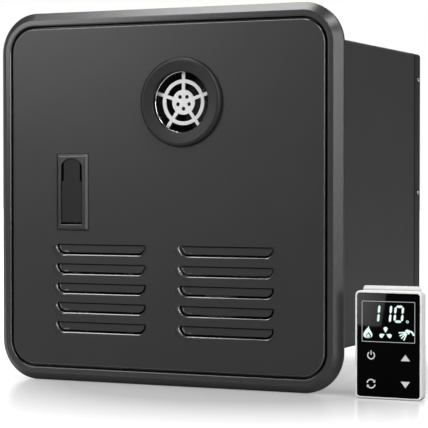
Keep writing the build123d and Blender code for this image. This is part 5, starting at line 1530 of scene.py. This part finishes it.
@dataclass
class Studio:
    """A white sweep with soft lamps, and the camera at the photograph's angle."""

    camera_place: Point = (0.7830, -1.6097, 0.0198)
    yaw: float = 24.43
    pitch: float = 1.175
    lens: float = 148.96
    sensor: float = 36.0
    dome_light: float = 0.2
    patch_span: Flat = (0.8, 0.97)
    patch_light: Flat = (0.06, 1.0)
    floor_half: float = 9.0
    floor_middle: Flat = (0.05, 0.1)
    # The floor glows less near the object: painted shade round its foot, from the span's start to its end.
    floor_painted_shade_span: Flat = (0.2, 0.5)
    floor_painted_shade_glow: Flat = (0.2, 1.0)
    floor_mirrored: float = 0.15
    floor_colour: Colour = grey(165)
    floor_roughness: float = 0.22
    floor_specular: float = 0.6
    boxes: tuple[SoftBox, ...] = (
        SoftBox("key_box", (1.05, -1.65, 2.0), (0.05, 0.0, 0.0), (0.6, 0.6), 7.0),
        SoftBox("left_box", (-0.9, -1.25, 0.75), (-0.1, 0.0, 0.1), (0.4, 1.1), 15.0),
        SoftBox("near_box", (1.64, -1.70, 0.8), (0.0, 0.0, 0.0), (0.22, 1.6), 17.0),
        SoftBox("side_box", (2.1, -0.9, 0.6), (0.1, 0.0, 0.0), (0.42, 1.3), 16.0),
        SoftBox("corner_box", (1.45, -0.68, 1.85), (0.15, 0.0, 0.15), (0.4, 0.5), 14.0),
        SoftBox("top_box", (-0.4, 0.0, 1.8), (0.0, 0.0, 0.0), (1.4, 0.9), 34.0),
        SoftBox("back_box", (-0.8, 2.6, 1.4), (0.0, 0.3, 0.0), (1.2, 1.0), 18.0),
        SoftBox(
            "glass_box", (-0.055, -0.8, -0.145), (0.236, -0.018, -0.09), (0.05, 0.09), 0.0006, 0.16, math.radians(6.0)
        ),
    )

    def build(self) -> None:
        """Set up the camera, lamps, world and floor."""
        self._camera()
        for box in self.boxes:
            box.build()
        self._world()
        self._floor()
        bpy.context.scene.view_settings.view_transform = "Standard"

    def _camera(self) -> None:
        """Place the camera that the photograph was fitted with."""
        lens = bpy.data.cameras.new("photo_camera")
        lens.lens = self.lens
        lens.sensor_width = self.sensor
        camera = bpy.data.objects.new("photo_camera", lens)
        camera.location = self.camera_place
        camera.rotation_euler = (math.radians(90.0 - self.pitch), 0.0, math.radians(self.yaw))
        bpy.context.scene.collection.objects.link(camera)
        bpy.context.scene.camera = camera

    def _world(self) -> None:
        """White to the camera and in the reflections that look past the object, dimmer from the sides."""
        world = bpy.data.worlds.new("studio")
        world.use_nodes = True
        bpy.context.scene.world = world
        sheet = NodeSheet(world.node_tree)
        path = sheet.add("LightPath").outputs
        ahead = (-math.sin(math.radians(self.yaw)), math.cos(math.radians(self.yaw)), 0.0)
        behind = sheet.vector("DOT_PRODUCT", "Value", sheet.add("TexCoord").outputs["Generated"], ahead)
        patch = sheet.ramp(behind, self.patch_span, *self.patch_light)
        seen = sheet.math("MAXIMUM", path["Is Camera Ray"], path["Is Transmission Ray"])
        dome = sheet.add("Mix", {"Factor": path["Is Glossy Ray"], 2: self.dome_light, 3: patch}, data_type="FLOAT")
        strength = sheet.math("MAXIMUM", seen, dome.outputs[0])
        sheet.feed(world.node_tree.nodes["Background"], {"Color": WHITE_LIGHT, "Strength": strength})

    def _floor(self) -> None:
        """A pale polished floor at the foot of the frame, a flat grid of one square that glows white further out and
        dimmer near the object, which paints shade round its foot.
        """
        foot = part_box("door_frame")[0].z
        reach = self.floor_half
        corners = np.array([[-reach, -reach, foot], [reach, -reach, foot], [reach, reach, foot], [-reach, reach, foot]])
        floor = new_piece("studio_floor", [(corners, [[0, 1, 2, 3]])], False)
        material = bpy.data.materials.new("studio_floor_white")
        material.use_nodes = True
        sheet = NodeSheet(material.node_tree)
        away = sheet.vector("DISTANCE", "Value", sheet.place(), (*self.floor_middle, foot))
        # Painted shade: the floor's glow falls toward the object.
        fade = sheet.ramp(away, self.floor_painted_shade_span, *self.floor_painted_shade_glow)
        path = sheet.add("LightPath").outputs
        seen = sheet.math("MULTIPLY_ADD", path["Is Glossy Ray"], self.floor_mirrored, path["Is Camera Ray"])
        sheet.feed(material.node_tree.nodes["Principled BSDF"], {
            "Base Color": self.floor_colour,
            "Roughness": self.floor_roughness,
            "Specular IOR Level": self.floor_specular,
            "Emission Color": WHITE_LIGHT,
            "Emission Strength": sheet.math("MULTIPLY", seen, fade),
        })
        floor.data.materials.append(material)


def main() -> None:
    """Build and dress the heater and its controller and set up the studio."""
    logging.basicConfig(level=logging.INFO, format="%(name)s: %(message)s")
    wardrobe = Wardrobe(Effects())
    screw = PanScrew()
    for assembly in (
        DoorSet(screw), EdgeLines(), LouverRims(), FlueRoll(), CaseShell(screw), Workings(), WallController(),
    ):
        assembly.build(wardrobe)
        assembly.dress(wardrobe)
    Studio().build()
    bpy.context.view_layer.update()


if __name__ == "__main__":
    main()
